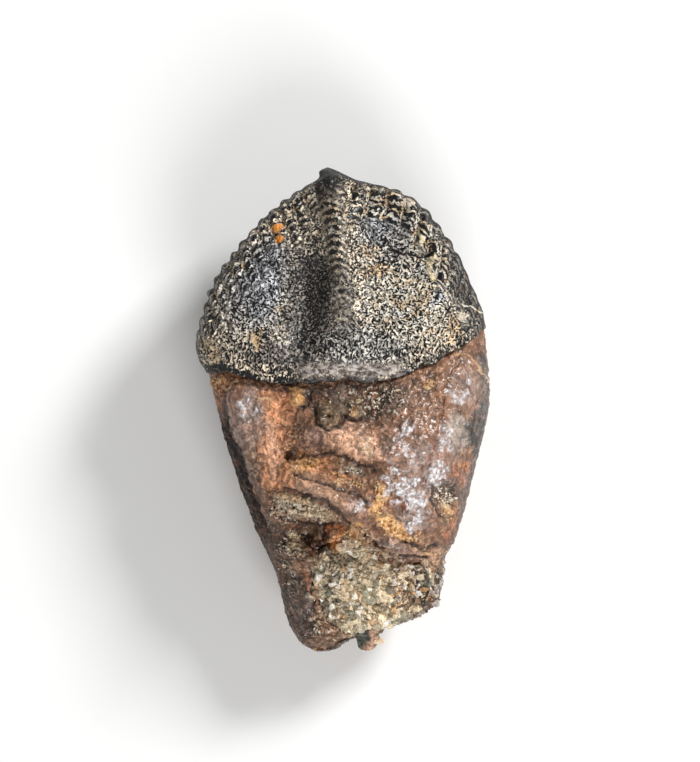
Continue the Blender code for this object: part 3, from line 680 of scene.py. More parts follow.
ROOT_GROUND = "brown"
ROOT_SPOTS = (
    ("red brown", -8.8, 0.9, 1.4, 2.6, -12.0, 0.7),
    ("purple brown", -7.6, -0.4, 1.7, 3.0, -10.0, 0.8),
    ("purple grey highlight", -7.3, 0.6, 1.0, 1.6, -10.0, 0.6),
    ("grey brown", -7.4, -3.8, 1.3, 2.4, -14.0, 0.7),
    ("orange brown", -5.1, 0.2, 1.2, 1.9, 10.0, 0.9),
    ("orange brown", -5.3, -2.8, 1.7, 1.9, 0.0, 0.85),
    ("orange brown", -4.9, -5.0, 1.6, 1.3, 20.0, 0.8),
    ("salmon", -5.6, -3.0, 0.7, 3.0, 4.0, 0.6),
    ("dark brown", -3.3, 1.8, 2.4, 0.5, 0.0, 0.8),
    ("dark brown", 2.0, 0.6, 4.9, 1.9, 0.0, 0.95),
    ("deep brown", 0.6, 1.3, 4.0, 0.8, 0.0, 0.6),
    ("grey brown", 0.2, 0.9, 1.6, 0.8, 0.0, 0.7),
    ("deep brown", 4.0, 1.2, 1.2, 1.0, 0.0, 0.7),
    ("red brown", 2.4, 0.9, 0.4, 1.3, 0.0, 0.6),
    ("olive", -1.0, -0.4, 1.3, 1.2, 0.0, 0.9),
    ("olive", 1.1, 0.0, 0.95, 1.0, 0.0, 0.8),
    ("ochre", 1.0, -0.1, 0.45, 0.45, 0.0, 0.9),
    ("purple brown", -2.2, -1.9, 1.3, 0.9, -10.0, 0.8),
    ("salmon", 1.2, -2.6, 2.8, 1.2, -18.0, 0.85),
    # The cream on the salmon fold is a painted highlight.
    ("cream", 1.9, -2.9, 1.0, 0.5, -20.0, 0.4),
    ("grey brown", 3.8, -2.6, 0.9, 1.0, 0.0, 0.5),
    ("orange brown", -1.1, -4.5, 2.9, 1.0, -12.0, 0.7),
    ("ochre", -2.4, -4.2, 0.9, 0.6, -12.0, 0.9),
    ("sand grey", 0.6, -4.4, 1.5, 0.6, -14.0, 0.8),
    ("iron stain", -1.7, -4.6, 0.5, 0.4, 0.0, 0.5),
    ("skin tan", -1.4, -6.2, 3.6, 0.9, -26.0, 0.95),
    ("purple grey highlight", 0.9, -7.4, 1.0, 0.6, -26.0, 0.7),
    ("orange brown", -4.5, -5.3, 1.2, 1.1, 0.0, 0.8),
    ("sand", -2.9, -7.6, 2.6, 0.8, -22.0, 0.85),
    ("olive ochre", -2.2, -7.9, 1.4, 0.5, -22.0, 0.6),
    ("pale", -4.0, -7.3, 1.0, 0.8, -10.0, 0.8),
    ("purple brown", 6.2, -3.2, 2.8, 5.2, 8.0, 0.8),
    ("purple grey highlight", 6.6, -4.4, 1.6, 2.2, 0.0, 0.6),
    ("brown", 6.0, -1.2, 2.4, 1.8, 0.0, 0.75),
    ("grey", 9.1, -1.6, 1.0, 1.6, 10.0, 0.6),
    ("purple grey highlight", 9.3, 1.8, 1.2, 1.6, 0.0, 0.35),
    ("orange brown", 10.2, -0.4, 0.5, 1.3, 0.0, 0.8),
    ("slate", 10.3, -2.0, 0.6, 1.3, 10.0, 0.8),
    ("iron stain", 9.6, -4.2, 0.4, 0.6, 10.0, 0.7),
    ("red brown", 9.0, -5.2, 0.6, 1.0, 0.0, 0.8),
    ("red brown", 4.2, -7.4, 0.7, 0.6, 0.0, 0.8),
    ("bright ochre", 2.9, -6.9, 0.6, 1.3, -10.0, 1.0),
    ("bright ochre", 3.9, -8.9, 1.6, 0.6, -28.0, 0.9),
    ("olive ochre", 7.9, -6.9, 0.8, 1.1, 0.0, 0.8),
    ("cream", 8.1, -7.8, 0.35, 0.7, 20.0, 0.8),
    ("purple brown", 4.4, -10.8, 2.5, 0.8, -24.0, 0.75),
    ("purple grey highlight", 3.9, -10.6, 1.1, 0.3, -24.0, 0.6),
    ("red brown", 8.1, -9.9, 0.8, 0.9, 0.0, 0.8),
    ("salmon", 7.2, -11.4, 0.8, 0.6, 0.0, 0.7),
    ("deep brown", -2.4, -9.6, 2.0, 1.2, -10.0, 0.85),
    ("dirt", -2.6, -9.2, 0.5, 0.5, 0.0, 0.9),
    ("purple brown", -1.9, -9.3, 0.25, 0.9, 0.0, 0.7),
    ("dark rust", -0.6, -9.4, 0.8, 0.8, 0.0, 0.9),
    ("bright rust", -0.6, -10.1, 0.5, 0.8, 0.0, 1.0),
    ("ochre", 1.2, -9.7, 1.3, 0.7, -30.0, 0.8),
    ("sand", -3.7, -10.5, 1.1, 1.1, 0.0, 1.0),
    ("dirt", -3.9, -12.4, 1.1, 2.2, 8.0, 0.85),
    ("dark brown", -5.4, -10.4, 1.0, 3.2, 14.0, 0.9),
    ("dark brown", -3.6, -15.4, 1.5, 3.4, 8.0, 1.0),
    ("red brown", -2.6, -13.0, 0.35, 1.2, 0.0, 0.7),
    ("violet", -2.5, -15.6, 0.45, 1.3, 0.0, 0.5),
    ("deep brown", -2.3, -17.0, 0.5, 0.8, 0.0, 0.8),
    ("dark brown", 4.5, -16.9, 2.6, 0.8, 18.0, 0.85),
    ("dirt", 6.8, -13.6, 0.8, 1.4, 0.0, 0.5),
    ("dirt", -1.2, -18.3, 1.8, 0.8, 0.0, 0.7),
    ("deep brown", -5.0, -13.2, 0.7, 3.6, 12.0, 0.6),
    ("slate", 10.6, -1.4, 0.95, 2.4, 5.0, 1.0),
    ("slate", 10.9, 3.4, 0.4, 1.4, 0.0, 0.8),
    ("dark brown", 8.1, -6.2, 1.0, 1.0, 0.0, 0.9),
    ("iron stain", 8.8, -8.9, 0.5, 1.0, 0.0, 0.6),
    ("purple grey highlight", 5.6, -8.4, 1.6, 0.9, -20.0, 0.7),
    ("ochre", -3.7, 1.05, 0.95, 0.95, 0.0, 1.0),
    ("pale", -3.5, 0.2, 0.2, 0.2, 0.0, 0.8),
    # The dark paint in the round pit is painted shade, and the purple grey on its bead a painted highlight.
    ("deep brown", -4.1, -3.5, 0.6, 0.6, 0.0, 0.9),
    ("purple grey highlight", -3.8, -3.6, 0.2, 0.25, 0.0, 1.0),
)
SPOT_WANDER = ((1.1, 0.4), (0.4, 0.2))
SPOT_EDGE = 0.25
WARMTH = (1.02, 0.95, 0.88)


def wandered(x, y):
    """Places moved about a little, which makes the outlines of spots uneven."""
    for salt, (pitch, size) in enumerate(SPOT_WANDER):
        shift = wander(x, y, pitch, 10 + salt) * size
        x, y = x + shift, y + wander(x, y, pitch, 20 + salt) * size
    return x, y


def painted(x, y, ground, spots):
    colour = np.zeros((*x.shape, 3)) + np.array(PAINTS[ground])
    moved = wandered(x, y)
    for name, *place, strength in spots:
        share = smoothstep((form(*moved, *place) - SPOT_EDGE) / (1.0 - SPOT_EDGE) * 1.4) * strength
        colour += (np.array(PAINTS[name]) - colour) * share[..., None]
    return colour


def spread(x, y, spots):
    """The strongest of several spots at each point, fading softly from its middle."""
    amount = np.zeros(x.shape)
    moved = wandered(x, y)
    for *place, strength in spots:
        amount = np.maximum(amount, strength * form(*moved, *place))
    return amount


print("spots on the crown:", len(CROWN_SPOTS), "on the root:", len(ROOT_SPOTS))

# %% [markdown]
# Where a material needs to know more than a colour, it reads a number from the skin: how full of pale
# sediment the grooves are, where the enamel is bare, how polished the root is, where crust and grit lie,
# and how far the nearest vein is. A distance stays sharp between points, so a thin vein can be drawn from
# it. Veins are only on the face, and the back has plainer colours.

# %% Numbers for the materials
FILL_LESS = 0.04
BACK_BARE = 0.42
DARK_EDGE = 0.45
DARK_RIM = 0.45
COMB_REACH = 3.7
COMB_LEVELS = (4.6, 17.8)
ARCH_LEFT = 0.45
ARCH_HALF_WIDTH = 0.8
ARCH_LEVELS = (5.6, 17.4)
STRIA_TOP = 6.1
BAND_LEVEL = 3.1
BAND_HALF_HEIGHT = 0.55
BAND_HALF_LENGTH = 4.6
LEFT_EDGE_REACH = 1.25
LEFT_FLANK_LEVELS = (-12.0, 0.6)
TONGUE_EDGE_TOP = -7.5
RIGHT_EDGE_REACH = 0.8
RIGHT_EDGE_TOP = 5.0
BACK_CLEAN = 0.7
PEBBLE_CLEAN = 3.0
FILL_SPOTS = (
    (4.8, 9.0, 3.0, 2.6, 0.0, 0.75),
    (5.9, 7.4, 1.2, 1.0, 0.0, 0.9),
    (7.0, 6.2, 3.2, 2.2, 0.0, 0.56),
    (3.4, 7.6, 2.4, 2.2, 0.0, 0.45),
    (6.3, 13.9, 0.5, 1.6, 0.0, 1.1),
    (7.2, 11.0, 0.4, 1.8, -12.0, 1.1),
    (8.9, 9.6, 0.6, 2.4, -16.0, 0.8),
    (6.6, 13.4, 1.6, 3.2, -30.0, 0.75),
    (8.4, 10.6, 1.2, 2.8, -15.0, 0.7),
    (3.6, 16.2, 2.8, 1.3, -14.0, 1.0),
    (-0.8, 14.9, 1.7, 1.7, 0.0, 0.7),
    (-7.2, 5.9, 1.2, 1.4, 20.0, 0.6),
    (-10.2, 4.6, 1.2, 1.5, 0.0, 0.7),
    (-3.6, 16.0, 1.8, 0.9, 40.0, 0.7),
    (-8.6, 10.6, 0.7, 2.4, -30.0, 0.6),
    (2.2, 12.4, 1.3, 1.0, 0.0, 0.55),
    (-4.8, 7.9, 0.4, 0.35, 0.0, 0.9),
)
BARE_SPOTS = (
    # The first spot dims the trough left of the ridge as painted shade; the others are the bare black tip.
    (-2.5, 9.2, 1.3, 4.2, -4.0, 0.36),
    (-1.2, 18.4, 1.0, 1.7, 0.0, 1.3),
    (-2.0, 16.6, 0.5, 2.0, 0.0, 1.0),
)
FLANK_SPOTS = ((10.0, 9.0, 1.2, 3.3, 18.0, 2.0),)
SOLID_SPOTS = (
    (-5.15, 14.1, 0.45, 0.5, 0.0, 0.95),
    (-4.95, 13.1, 0.3, 0.4, 0.0, 0.95),
    (-6.9, 5.6, 0.35, 0.9, 20.0, 0.55),
    (-10.2, 4.3, 0.6, 0.6, -30.0, 0.5),
    (8.6, 6.0, 0.4, 0.9, 0.0, 0.5),
    (6.2, 13.3, 0.4, 1.0, 0.0, 0.62),
    (7.1, 11.0, 0.35, 1.5, -8.0, 0.65),
    (5.0, 16.3, 0.4, 0.5, 0.0, 0.7),
    (9.1, 7.6, 0.4, 0.6, 0.0, 0.6),
    (2.4, 12.5, 0.6, 0.5, 0.0, 0.45),
    (2.6, 10.8, 0.6, 0.4, 0.0, 0.45),
    (-0.6, 15.2, 0.5, 0.5, 0.0, 0.45),
)
CRUST_SPOTS = (
    (2.7, -6.2, 0.8, 1.1, -10.0, 0.85),
    (3.1, -7.6, 0.8, 0.9, -10.0, 0.75),
    (3.8, -8.9, 1.1, 0.8, -26.0, 0.85),
    (5.4, -9.6, 1.3, 0.6, -26.0, 0.75),
    (-1.7, -4.4, 2.2, 1.0, -12.0, 0.5),
    (-3.3, -4.6, 0.9, 0.7, 0.0, 0.75),
    (-0.2, -5.2, 0.9, 0.7, 0.0, 0.7),
    (1.0, -5.6, 1.0, 0.6, -20.0, 0.65),
    (8.2, -8.1, 0.5, 0.7, 10.0, 0.8),
    (-9.6, 2.1, 0.8, 1.0, 0.0, 0.7),
    (-4.2, -2.2, 1.2, 2.2, 0.0, 0.5),
    (1.0, -9.9, 2.2, 0.8, -20.0, 0.75),
    (6.4, -11.0, 2.4, 0.7, -8.0, 0.55),
    (6.3, 2.2, 2.2, 0.6, 25.0, 0.6),
    (-3.6, -6.9, 1.6, 0.5, -22.0, 0.75),
    (1.4, 1.0, 0.5, 1.2, 0.0, 0.55),
)
GRIT_SPOTS = (
    (0.5, -4.4, 1.6, 0.8, -14.0, 0.75),
    (7.9, -6.8, 0.9, 1.3, 0.0, 0.8),
    (-2.9, -7.7, 2.8, 0.9, -22.0, 0.85),
    (-4.6, -7.9, 1.1, 0.9, 0.0, 0.95),
    (-3.7, -10.5, 1.3, 1.3, 0.0, 1.1),
    (-4.0, -12.6, 1.0, 2.6, 8.0, 0.5),
    (2.8, 0.8, 3.8, 1.6, 0.0, 0.62),
    (-1.0, -0.4, 1.2, 1.1, 0.0, 0.42),
    (1.1, -0.1, 0.9, 0.9, 0.0, 0.5),
    (-0.7, -9.9, 0.7, 1.2, 0.0, 0.62),
    (-1.5, -17.6, 1.6, 0.7, 0.0, 0.45),
)
SAND_SPOTS = (
    (1.3, -9.9, 1.5, 0.8, -30.0, 0.75),
    (1.5, -11.0, 1.0, 0.8, -35.0, 0.95),
    (4.0, -12.0, 1.8, 0.7, -20.0, 0.9),
    (-3.6, -10.5, 1.0, 1.0, 0.0, 0.6),
    (-2.4, -11.8, 0.9, 0.8, 0.0, 0.9),
    (-2.5, -13.6, 0.5, 2.2, 0.0, 0.75),
    (6.9, -12.4, 0.9, 1.0, 0.0, 0.8),
    (7.0, -14.2, 0.6, 1.4, 0.0, 0.6),
    (5.4, -16.2, 2.0, 0.7, 18.0, 0.75),
    (-1.9, -16.2, 0.9, 1.4, 30.0, 0.8),
    (-4.3, -8.0, 1.2, 0.6, -22.0, 0.5),
    (-0.2, -17.6, 1.4, 0.6, -20.0, 0.6),
)
POLISH_SPOTS = (
    (-7.7, -0.6, 2.4, 3.8, -8.0, 0.9),
    (6.4, -3.4, 3.6, 6.2, 8.0, 1.0),
    (9.6, 1.4, 2.4, 3.4, 0.0, 1.0),
    (-1.0, -6.5, 4.0, 1.1, -26.0, 0.9),
    (1.6, -2.8, 2.8, 1.2, -20.0, 0.7),
    (-3.2, -16.0, 1.5, 3.4, 8.0, 0.8),
    (-3.7, 1.1, 0.8, 0.8, 0.0, 1.0),
    (5.5, -10.4, 2.8, 0.8, -22.0, 0.8),
)
# Places where milky highlights are painted on the polished root, strongest on the right bulge.
PAINTED_HIGHLIGHT_SPOTS = (
    (3.6, -4.5, 0.8, 1.1, 0.0, 0.65),
    (4.6, -6.0, 1.3, 1.3, -20.0, 1.3),
    (5.4, -7.0, 1.2, 1.2, -20.0, 1.0),
    (7.3, -4.8, 0.9, 1.2, -20.0, 1.0),
    (8.2, -1.9, 1.0, 1.2, 0.0, 0.5),
    (5.0, -1.9, 0.9, 1.1, 0.0, 0.75),
    (5.3, -3.6, 0.9, 0.9, 0.0, 0.65),
    (5.6, -8.3, 0.8, 0.9, -20.0, 0.7),
    (9.3, 1.7, 0.9, 1.4, 0.0, 0.5),
    (-7.5, 0.5, 1.1, 2.0, -12.0, 0.45),
    (1.6, -7.6, 0.9, 0.8, 0.0, 0.65),
    (1.9, -2.8, 1.0, 0.7, 0.0, 0.5),
)
PALE_VEINS = (
    ((9.2, 8.3), (10.0, 8.1), (10.9, 7.5)),
    ((8.6, 4.3), (9.6, 4.5), (10.4, 3.8), (11.4, 2.3)),
    ((-9.3, 1.5), (-8.6, 2.1), (-8.2, 2.2)),
    ((-6.8, 1.0), (-5.7, 0.9), (-5.8, 0.2)),
)
RUST_VEINS = (
    ((7.9, 2.0), (7.9, 0.4), (7.5, -0.9), (7.1, -2.2), (6.9, -3.4), (6.3, -4.4), (6.3, -5.6)),
    ((7.3, -5.7), (7.9, -5.4), (8.6, -4.9)),
    ((9.8, 1.9), (10.1, 0.6)),
)
BLACK_VEINS = (
    ((3.6, 12.5), (4.0, 12.45), (4.5, 12.3)),
    ((5.1, 12.05), (6.0, 12.0), (6.9, 12.3)),
)
# Creases are grooves in the relief, and their colour is darkened as painted shade, under the lip too.
CREASES = (
    ((-9.4, 1.4), (-9.0, -1.6), (-8.0, -4.4), (-6.9, -7.2), (-6.2, -9.0)),
    ((-4.7, -8.3), (-3.6, -8.7), (-2.0, -9.0), (-0.8, -8.9)),
    ((1.2, -9.3), (2.2, -10.2), (3.2, -11.0), (5.0, -11.5), (6.6, -11.6)),
    ((-2.2, 0.2), (-2.1, -1.0), (-1.2, -1.5), (-0.2, -1.2), (0.2, -0.4)),
    ((0.2, -0.5), (1.0, -0.9), (1.9, -0.7), (2.3, 0.1)),
    ((-2.6, 1.6), (-2.7, 0.4), (-3.1, 0.2)),
    ((-3.4, -3.7), (-1.2, -3.3), (1.0, -4.1), (2.4, -4.7)),
    ((-4.0, -4.9), (-3.3, -5.0), (-1.5, -5.6), (0.1, -6.2), (1.2, -6.5), (2.0, -7.2)),
    ((-4.6, -6.1), (-3.1, -6.7), (-1.3, -7.1), (-0.4, -8.0), (0.3, -8.8), (1.6, -9.5)),
    ((-2.3, -12.4), (-2.3, -15.4), (-1.8, -16.9)),
    ((6.9, -5.9), (6.9, -7.2), (7.6, -8.2)),
    ((7.4, -10.7), (6.4, -10.9), (5.4, -10.3), (4.6, -10.2)),
)
PEBBLE = (-3.7, 1.05, 0.85, 0.85, 0.0)
NO_VEIN = 9.0
VEIN_WANDER = 0.16


def vein_distance(x, y, face, veins):
    """How far the nearest vein on the face is. The back has none."""
    x = x + VEIN_WANDER * wander(x, y, 0.5, 31)
    y = y + VEIN_WANDER * wander(x, y, 0.5, 32)
    nearest = np.full(x.shape, NO_VEIN)
    for points in veins:
        nearest = np.minimum(nearest, distance_to_line(x, y, points))
    return np.where(face > 0.5, nearest, NO_VEIN)


def crown_numbers(points, measures):
    """Where the enamel is filled, bare or covered, and where its rows, arches, stripes and veins lie."""
    x, y = points[..., 0], points[..., 1]
    face = measures["face"]
    bare = np.maximum(spread(x, y, BARE_SPOTS) * face, BACK_BARE * (1.0 - face))
    flank = np.minimum(spread(x, y, FLANK_SPOTS), 1.0) * measures["right"] * face
    edge = before(measures["from_edge"], DARK_EDGE + 0.3 * wander(x, y, 0.7, 9), 0.35)
    bare = np.maximum(bare, 0.8 * edge * after(y, 4.0, 3.0) * face)
    rim = smoothstep((DARK_RIM + 0.3 * wander(x, y, 0.8, 33) + measures["below_base"]) / 0.3)
    bare = np.maximum(bare, (0.7 - 0.35 * after(x, 3.0, 3.0)) * rim * face)
    comb = before(measures["reach"], COMB_REACH + wander(x, y, 1.6, 3), 1.2)
    comb = comb * after(y, COMB_LEVELS[0], 1.5) * face * before(y, COMB_LEVELS[1], 1.0)
    offset = x - smooth_height(y, RIDGE_STATIONS, RIDGE_PLACE) + ARCH_LEFT * after(y, 9.0, 4.0)
    arches = (0.55 + 0.45 * after(y, 10.0, 2.0)) * np.exp(-((offset / ARCH_HALF_WIDTH) ** 4))
    arches = arches * after(y, ARCH_LEVELS[0], 1.5) * before(y, ARCH_LEVELS[1], 0.8) * face
    band = np.exp(-(((y - BAND_LEVEL) / BAND_HALF_HEIGHT) ** 2))
    return {
        "fill": (spread(x, y, FILL_SPOTS) - FILL_LESS) * face,
        "bare": np.minimum(np.maximum(bare, flank), 1.0),
        "solid": spread(x, y, SOLID_SPOTS) * face,
        "comb_share": comb,
        "stria_share": 0.7 * before(y, STRIA_TOP + 0.8 * wander(x, y, 1.5, 4), 0.8) * face,
        "arch_share": arches,
        "ridge_offset": offset,
        "band": band * before(np.abs(x - 0.5), BAND_HALF_LENGTH, 1.2) * face,
        "pale_vein": vein_distance(x, y, face, PALE_VEINS),
        "black_vein": vein_distance(x, y, face, BLACK_VEINS),
    }


def near_left_edge(x, y, measures):
    """1 along the left side of the outline, with an uneven border."""
    low = before(measures["from_edge"], LEFT_EDGE_REACH + 0.4 * wander(x, y, 1.0, 5), 0.5)
    return low * ~measures["right"]


def shaded_left_flank(x, y, measures):
    """1 on the root's left flank, which faces away from the light and is painted near black as shade."""
    low = near_left_edge(x, y, measures)
    bottom, top = LEFT_FLANK_LEVELS
    return low * before(y, top, 2.0) * after(y, bottom, 3.0) * measures["face"]


def root_numbers(points, measures):
    """Where the root carries crust, grit and sand, where it is polished, where highlights are painted, and
    where its veins lie.
    """
    x, y = points[..., 0], points[..., 1]
    face = measures["face"]
    flank = shaded_left_flank(x, y, measures)
    clean = np.maximum(BACK_CLEAN * (1.0 - face), PEBBLE_CLEAN * form(x, y, *PEBBLE))
    return {
        "crust": spread(x, y, CRUST_SPOTS) * face - clean,
        "grit": spread(x, y, GRIT_SPOTS) * face - clean,
        "sand": spread(x, y, SAND_SPOTS) * face - clean,
        "polish": np.maximum(spread(x, y, POLISH_SPOTS), 0.35) * (0.4 + 0.6 * face) * (1.0 - flank),
        "painted_highlight": spread(x, y, PAINTED_HIGHLIGHT_SPOTS) * face,
        "pale_vein": vein_distance(x, y, face, PALE_VEINS),
        "rust_vein": vein_distance(x, y, face, RUST_VEINS),
        "crease": vein_distance(x, y, face, CREASES),
    }


def shaded(colour, name, share):
    """A colour taken towards a named paint by a share."""
    return colour + (np.array(PAINTS[name]) - colour) * share[..., None]


def root_colour(points, measures):
    """The root's painted spots, the painted shade of its left flank, its dark edges and its plainer back."""
    x, y = points[..., 0], points[..., 1]
    face = measures["face"][..., None]
    colour = painted(x, y, ROOT_GROUND, ROOT_SPOTS)
    # Painted shade: the left flank faces away from the light and is painted near black.
    colour = shaded(colour, "black", 0.95 * shaded_left_flank(x, y, measures))
    on_tongue = near_left_edge(x, y, measures) * before(y, TONGUE_EDGE_TOP, 3.0)
    colour = shaded(colour, "dark brown", 0.7 * on_tongue)
    thin = before(measures["from_edge"], RIGHT_EDGE_REACH + 0.3 * wander(x, y, 0.8, 6), 0.5)
    on_right = thin * measures["right"] * before(y, RIGHT_EDGE_TOP, 2.0)
    colour = shaded(colour, "slate", 0.8 * on_right)
    # The height counts too, because on the steep sides the same x would draw upright stripes.
    round_way = x + points[..., 2] * np.clip(x / 3.0, -1.0, 1.0)
    back = painted(x, y, ROOT_GROUND, ())
    back = shaded(back, "dark brown", smoothstep(0.5 + wander(round_way, y, 3.0, 7)))
    back = shaded(back, "orange brown", 0.5 * smoothstep(2.0 * wander(round_way, y, 2.2, 8)))
    return (colour * face + back * (1.0 - face)) * np.array(WARMTH)


def crown_colour(points):
    return painted(points[..., 0], points[..., 1], CROWN_LINES, CROWN_SPOTS)


print("crusted places:", len(CRUST_SPOTS), "gritty places:", len(GRIT_SPOTS), "creases:", len(CREASES))

# %% [markdown]
# A skin is made by joining neighbouring rows with four-sided faces and closing each end with a fan. The
# numbers and the colour go on its points as attributes. The place of each point before any fine relief is
# kept too, in millimetres, so that relief and colour can share one pattern.

# %% Make the skins
RIGHT_COUNT_START = 90.0


def make_skin(name, points, numbers, colour, vectors, flat_ends):
    rows, columns = points.shape[:2]
    poles = np.array([points[0].mean(axis=0), points[-1].mean(axis=0)])
    places = np.vstack([points.reshape(-1, 3), poles])
    index = np.arange(rows * columns).reshape(rows, columns)
    after = np.roll(index, -1, axis=1)
    faces = np.stack([index[:-1], after[:-1], after[1:], index[1:]], axis=-1).reshape(-1, 4).tolist()
    faces += [(rows * columns, b, a) for a, b in zip(index[0], after[0])]
    faces += [(rows * columns + 1, a, b) for a, b in zip(index[-1], after[-1])]
    mesh = bpy.data.meshes.new(name)
    mesh.from_pydata((places * MM).tolist(), [], faces)
    mesh.validate()
    smooth = np.ones(len(mesh.polygons), bool)
    body = (rows - 1) * columns
    smooth[body : body + columns] = not flat_ends[0]
    smooth[body + columns :] = not flat_ends[1]
    mesh.polygons.foreach_set("use_smooth", smooth)

    def with_poles(values):
        values = values.reshape(rows * columns, -1)
        return np.vstack([values, values[:1], values[-1:]])

    def keep(key, kind, field, values):
        made = mesh.attributes.new(key, kind, "POINT")
        made.data.foreach_set(field, values.ravel())

    keep("rest", "FLOAT_VECTOR", "vector", places)
    for key, values in vectors.items():
        keep(key, "FLOAT_VECTOR", "vector", with_poles(values))
    for key, values in numbers.items():
        keep(key, "FLOAT", "value", with_poles(values))
    rgba = np.column_stack([with_poles(colour), np.ones(len(places))])
    keep("tone", "FLOAT_COLOR", "color", rgba)

    check = bmesh.new()
    check.from_mesh(mesh)
    if check.calc_volume(signed=True) < 0.0:
        bmesh.ops.reverse_faces(check, faces=check.faces)
        check.to_mesh(mesh)
    check.free()
    obj = bpy.data.objects.new(name, mesh)
    bpy.context.scene.collection.objects.link(obj)
    return obj


def comb_ways(measures):
    """Coordinates that count denticles along the margin, and give the way down from it."""
    pitch = np.where(measures["right"], RIGHT_PITCH, LEFT_PITCH)
    first = measures["start"] / pitch + np.where(measures["right"], RIGHT_COUNT_START, 0.0)
    return np.stack([first, measures["reach"], np.zeros(first.shape)], axis=-1)


crown = make_skin(
    "enamel_crown",
    crown_points,
    crown_numbers(crown_points, crown_measures),
    crown_colour(crown_points),
    {"comb": comb_ways(crown_measures)},
    (False, True),
)
root = make_skin(
    "root_skin",
    root_points,
    root_numbers(root_points, root_measures),
    root_colour(root_points, root_measures),
    {},
    (True, False),
)
print({o.name: len(o.data.polygons) for o in (crown, root)})

# %% [markdown]
# A node tree is easier to read when a line of it says what it does. These small helpers add a node, feed
# its inputs and hand back its output as a wire, and wires can be added, subtracted and multiplied like
# numbers. The helpers work in a material and in a Geometry Nodes tree alike, because the noise, cell and
# maths nodes are the same in both. That is what lets the relief and the colour share one pattern.

# %% Helpers for node trees
NOT_NUMBERS = {"rest": "FLOAT_VECTOR", "comb": "FLOAT_VECTOR", "tone": "FLOAT_COLOR"}


class Wire:
    """What comes out of a node. Sums, differences and products of wires become Math nodes."""

    def __init__(self, tree, socket):
        self.tree = tree
        self.socket = socket

    def __add__(self, other):
        return maths(self.tree, "ADD", self, other)

    def __sub__(self, other):
        return maths(self.tree, "SUBTRACT", self, other)

    def __rsub__(self, other):
        return maths(self.tree, "SUBTRACT", other, self)

    def __mul__(self, other):
        return maths(self.tree, "MULTIPLY", self, other)


def feed(tree, socket, value):
    if isinstance(value, Wire):
        tree.links.new(value.socket, socket)
    else:
        socket.default_value = value


def add_node(tree, kind, inputs=None, **settings):
    node = tree.nodes.new(kind)
    for name, value in settings.items():
        setattr(node, name, value)
    for key, value in (inputs or {}).items():
        feed(tree, node.inputs[key], value)
    return node


def add(tree, kind, inputs=None, output=0, **settings):
    return Wire(tree, add_node(tree, kind, inputs, **settings).outputs[output])


def wires(tree, node):
    """All that comes out of a node, by name."""
    return {socket.name: Wire(tree, socket) for socket in node.outputs}


def maths(tree, operation, *values):
    return add(tree, "ShaderNodeMath", dict(enumerate(values)), operation=operation)


def vectors(tree, operation, *values):
    return add(tree, "ShaderNodeVectorMath", dict(enumerate(values)), operation=operation)


def scaled(tree, vector, amount):
    return add(tree, "ShaderNodeVectorMath", {0: vector, "Scale": amount}, operation="SCALE")


def ramp(tree, value, low, high, to_low=0.0, to_high=1.0):
    """Takes a value from one range to another, smoothly and without going past its ends."""
    inputs = {"Value": value, "From Min": low, "From Max": high, "To Min": to_low, "To Max": to_high}
    return add(tree, "ShaderNodeMapRange", inputs, interpolation_type="SMOOTHSTEP")


def noise(tree, vector, pitch, detail=1.0, rough=0.5, output="Factor"):
    """Smooth random waves with about the given pitch in millimetres."""
    inputs = {"Vector": vector, "Scale": 1.0 / pitch, "Detail": detail, "Roughness": rough}
    return add(tree, "ShaderNodeTexNoise", inputs, 0 if output == "Factor" else 1)


def blend(tree, share, first, second):
    return add(tree, "ShaderNodeMix", {0: share, 2: first, 3: second}, data_type="FLOAT")


def blend_colour(tree, share, first, second, mode="MIX"):
    inputs = {0: share, 6: first, 7: second}
    return add(tree, "ShaderNodeMix", inputs, 2, data_type="RGBA", blend_type=mode)


def read(tree, name):
    """An attribute of the piece: a number, a vector or a colour."""
    kind = NOT_NUMBERS.get(name, "FLOAT")
    if tree.bl_idname == "ShaderNodeTree":
        output = {"FLOAT": "Fac", "FLOAT_VECTOR": "Vector", "FLOAT_COLOR": "Color"}[kind]
        return add(tree, "ShaderNodeAttribute", output=output, attribute_name=name)
    return add(tree, "GeometryNodeInputNamedAttribute", {"Name": name}, data_type=kind)


def cells(tree, vector, pitch):
    """Distance to the nearest border between random cells, from 0 on a border to about a half."""
    inputs = {"Vector": vector, "Scale": 1.0 / pitch}
    return add(tree, "ShaderNodeTexVoronoi", inputs, "Distance", feature="DISTANCE_TO_EDGE")


def cell_number(tree, vector, pitch):
    """A random number from 0 to 1 for each of the same cells."""
    own = add(tree, "ShaderNodeTexVoronoi", {"Vector": vector, "Scale": 1.0 / pitch}, "Color")
    return add(tree, "ShaderNodeSeparateColor", {0: own}, 0)


print("helpers:", ", ".join(f.__name__ for f in (add, maths, vectors, ramp, noise, blend, read, cells)))

# %% [markdown]
# The enamel of this tooth is covered with tiny worm-like wrinkles, packed side by side. A random field that
# is cut at its own middle value makes winding stripes of nearly one width, so it is cut there, light above
# and black below. Near the margins the wrinkles gather into nested crescents, one row of them for each
# denticle, with a light groove between two rows. On the median ridge they gather into arches. Both come
# from coordinates that the skin carries along, and the wrinkles' own field is added so that they stay
# uneven.

# %% The wrinkle pattern of the enamel
WRINKLE_PITCH = 0.155
WRINKLE_CUT = 0.035
CUT_BY_FILL = 0.035
CUT_BY_BARE = 0.15
BEND = 0.5
BEND_PITCH = 0.6
CRESCENT_PITCH = 0.58
CRESCENT_FALL = 1.5
CRESCENT_ROUGH = 3.5
ARCH_PITCH = 0.62
ARCH_FALL = 0.75
ARCH_ROUGH = 5.0
HALF = (0.5, 0.5, 0.5)


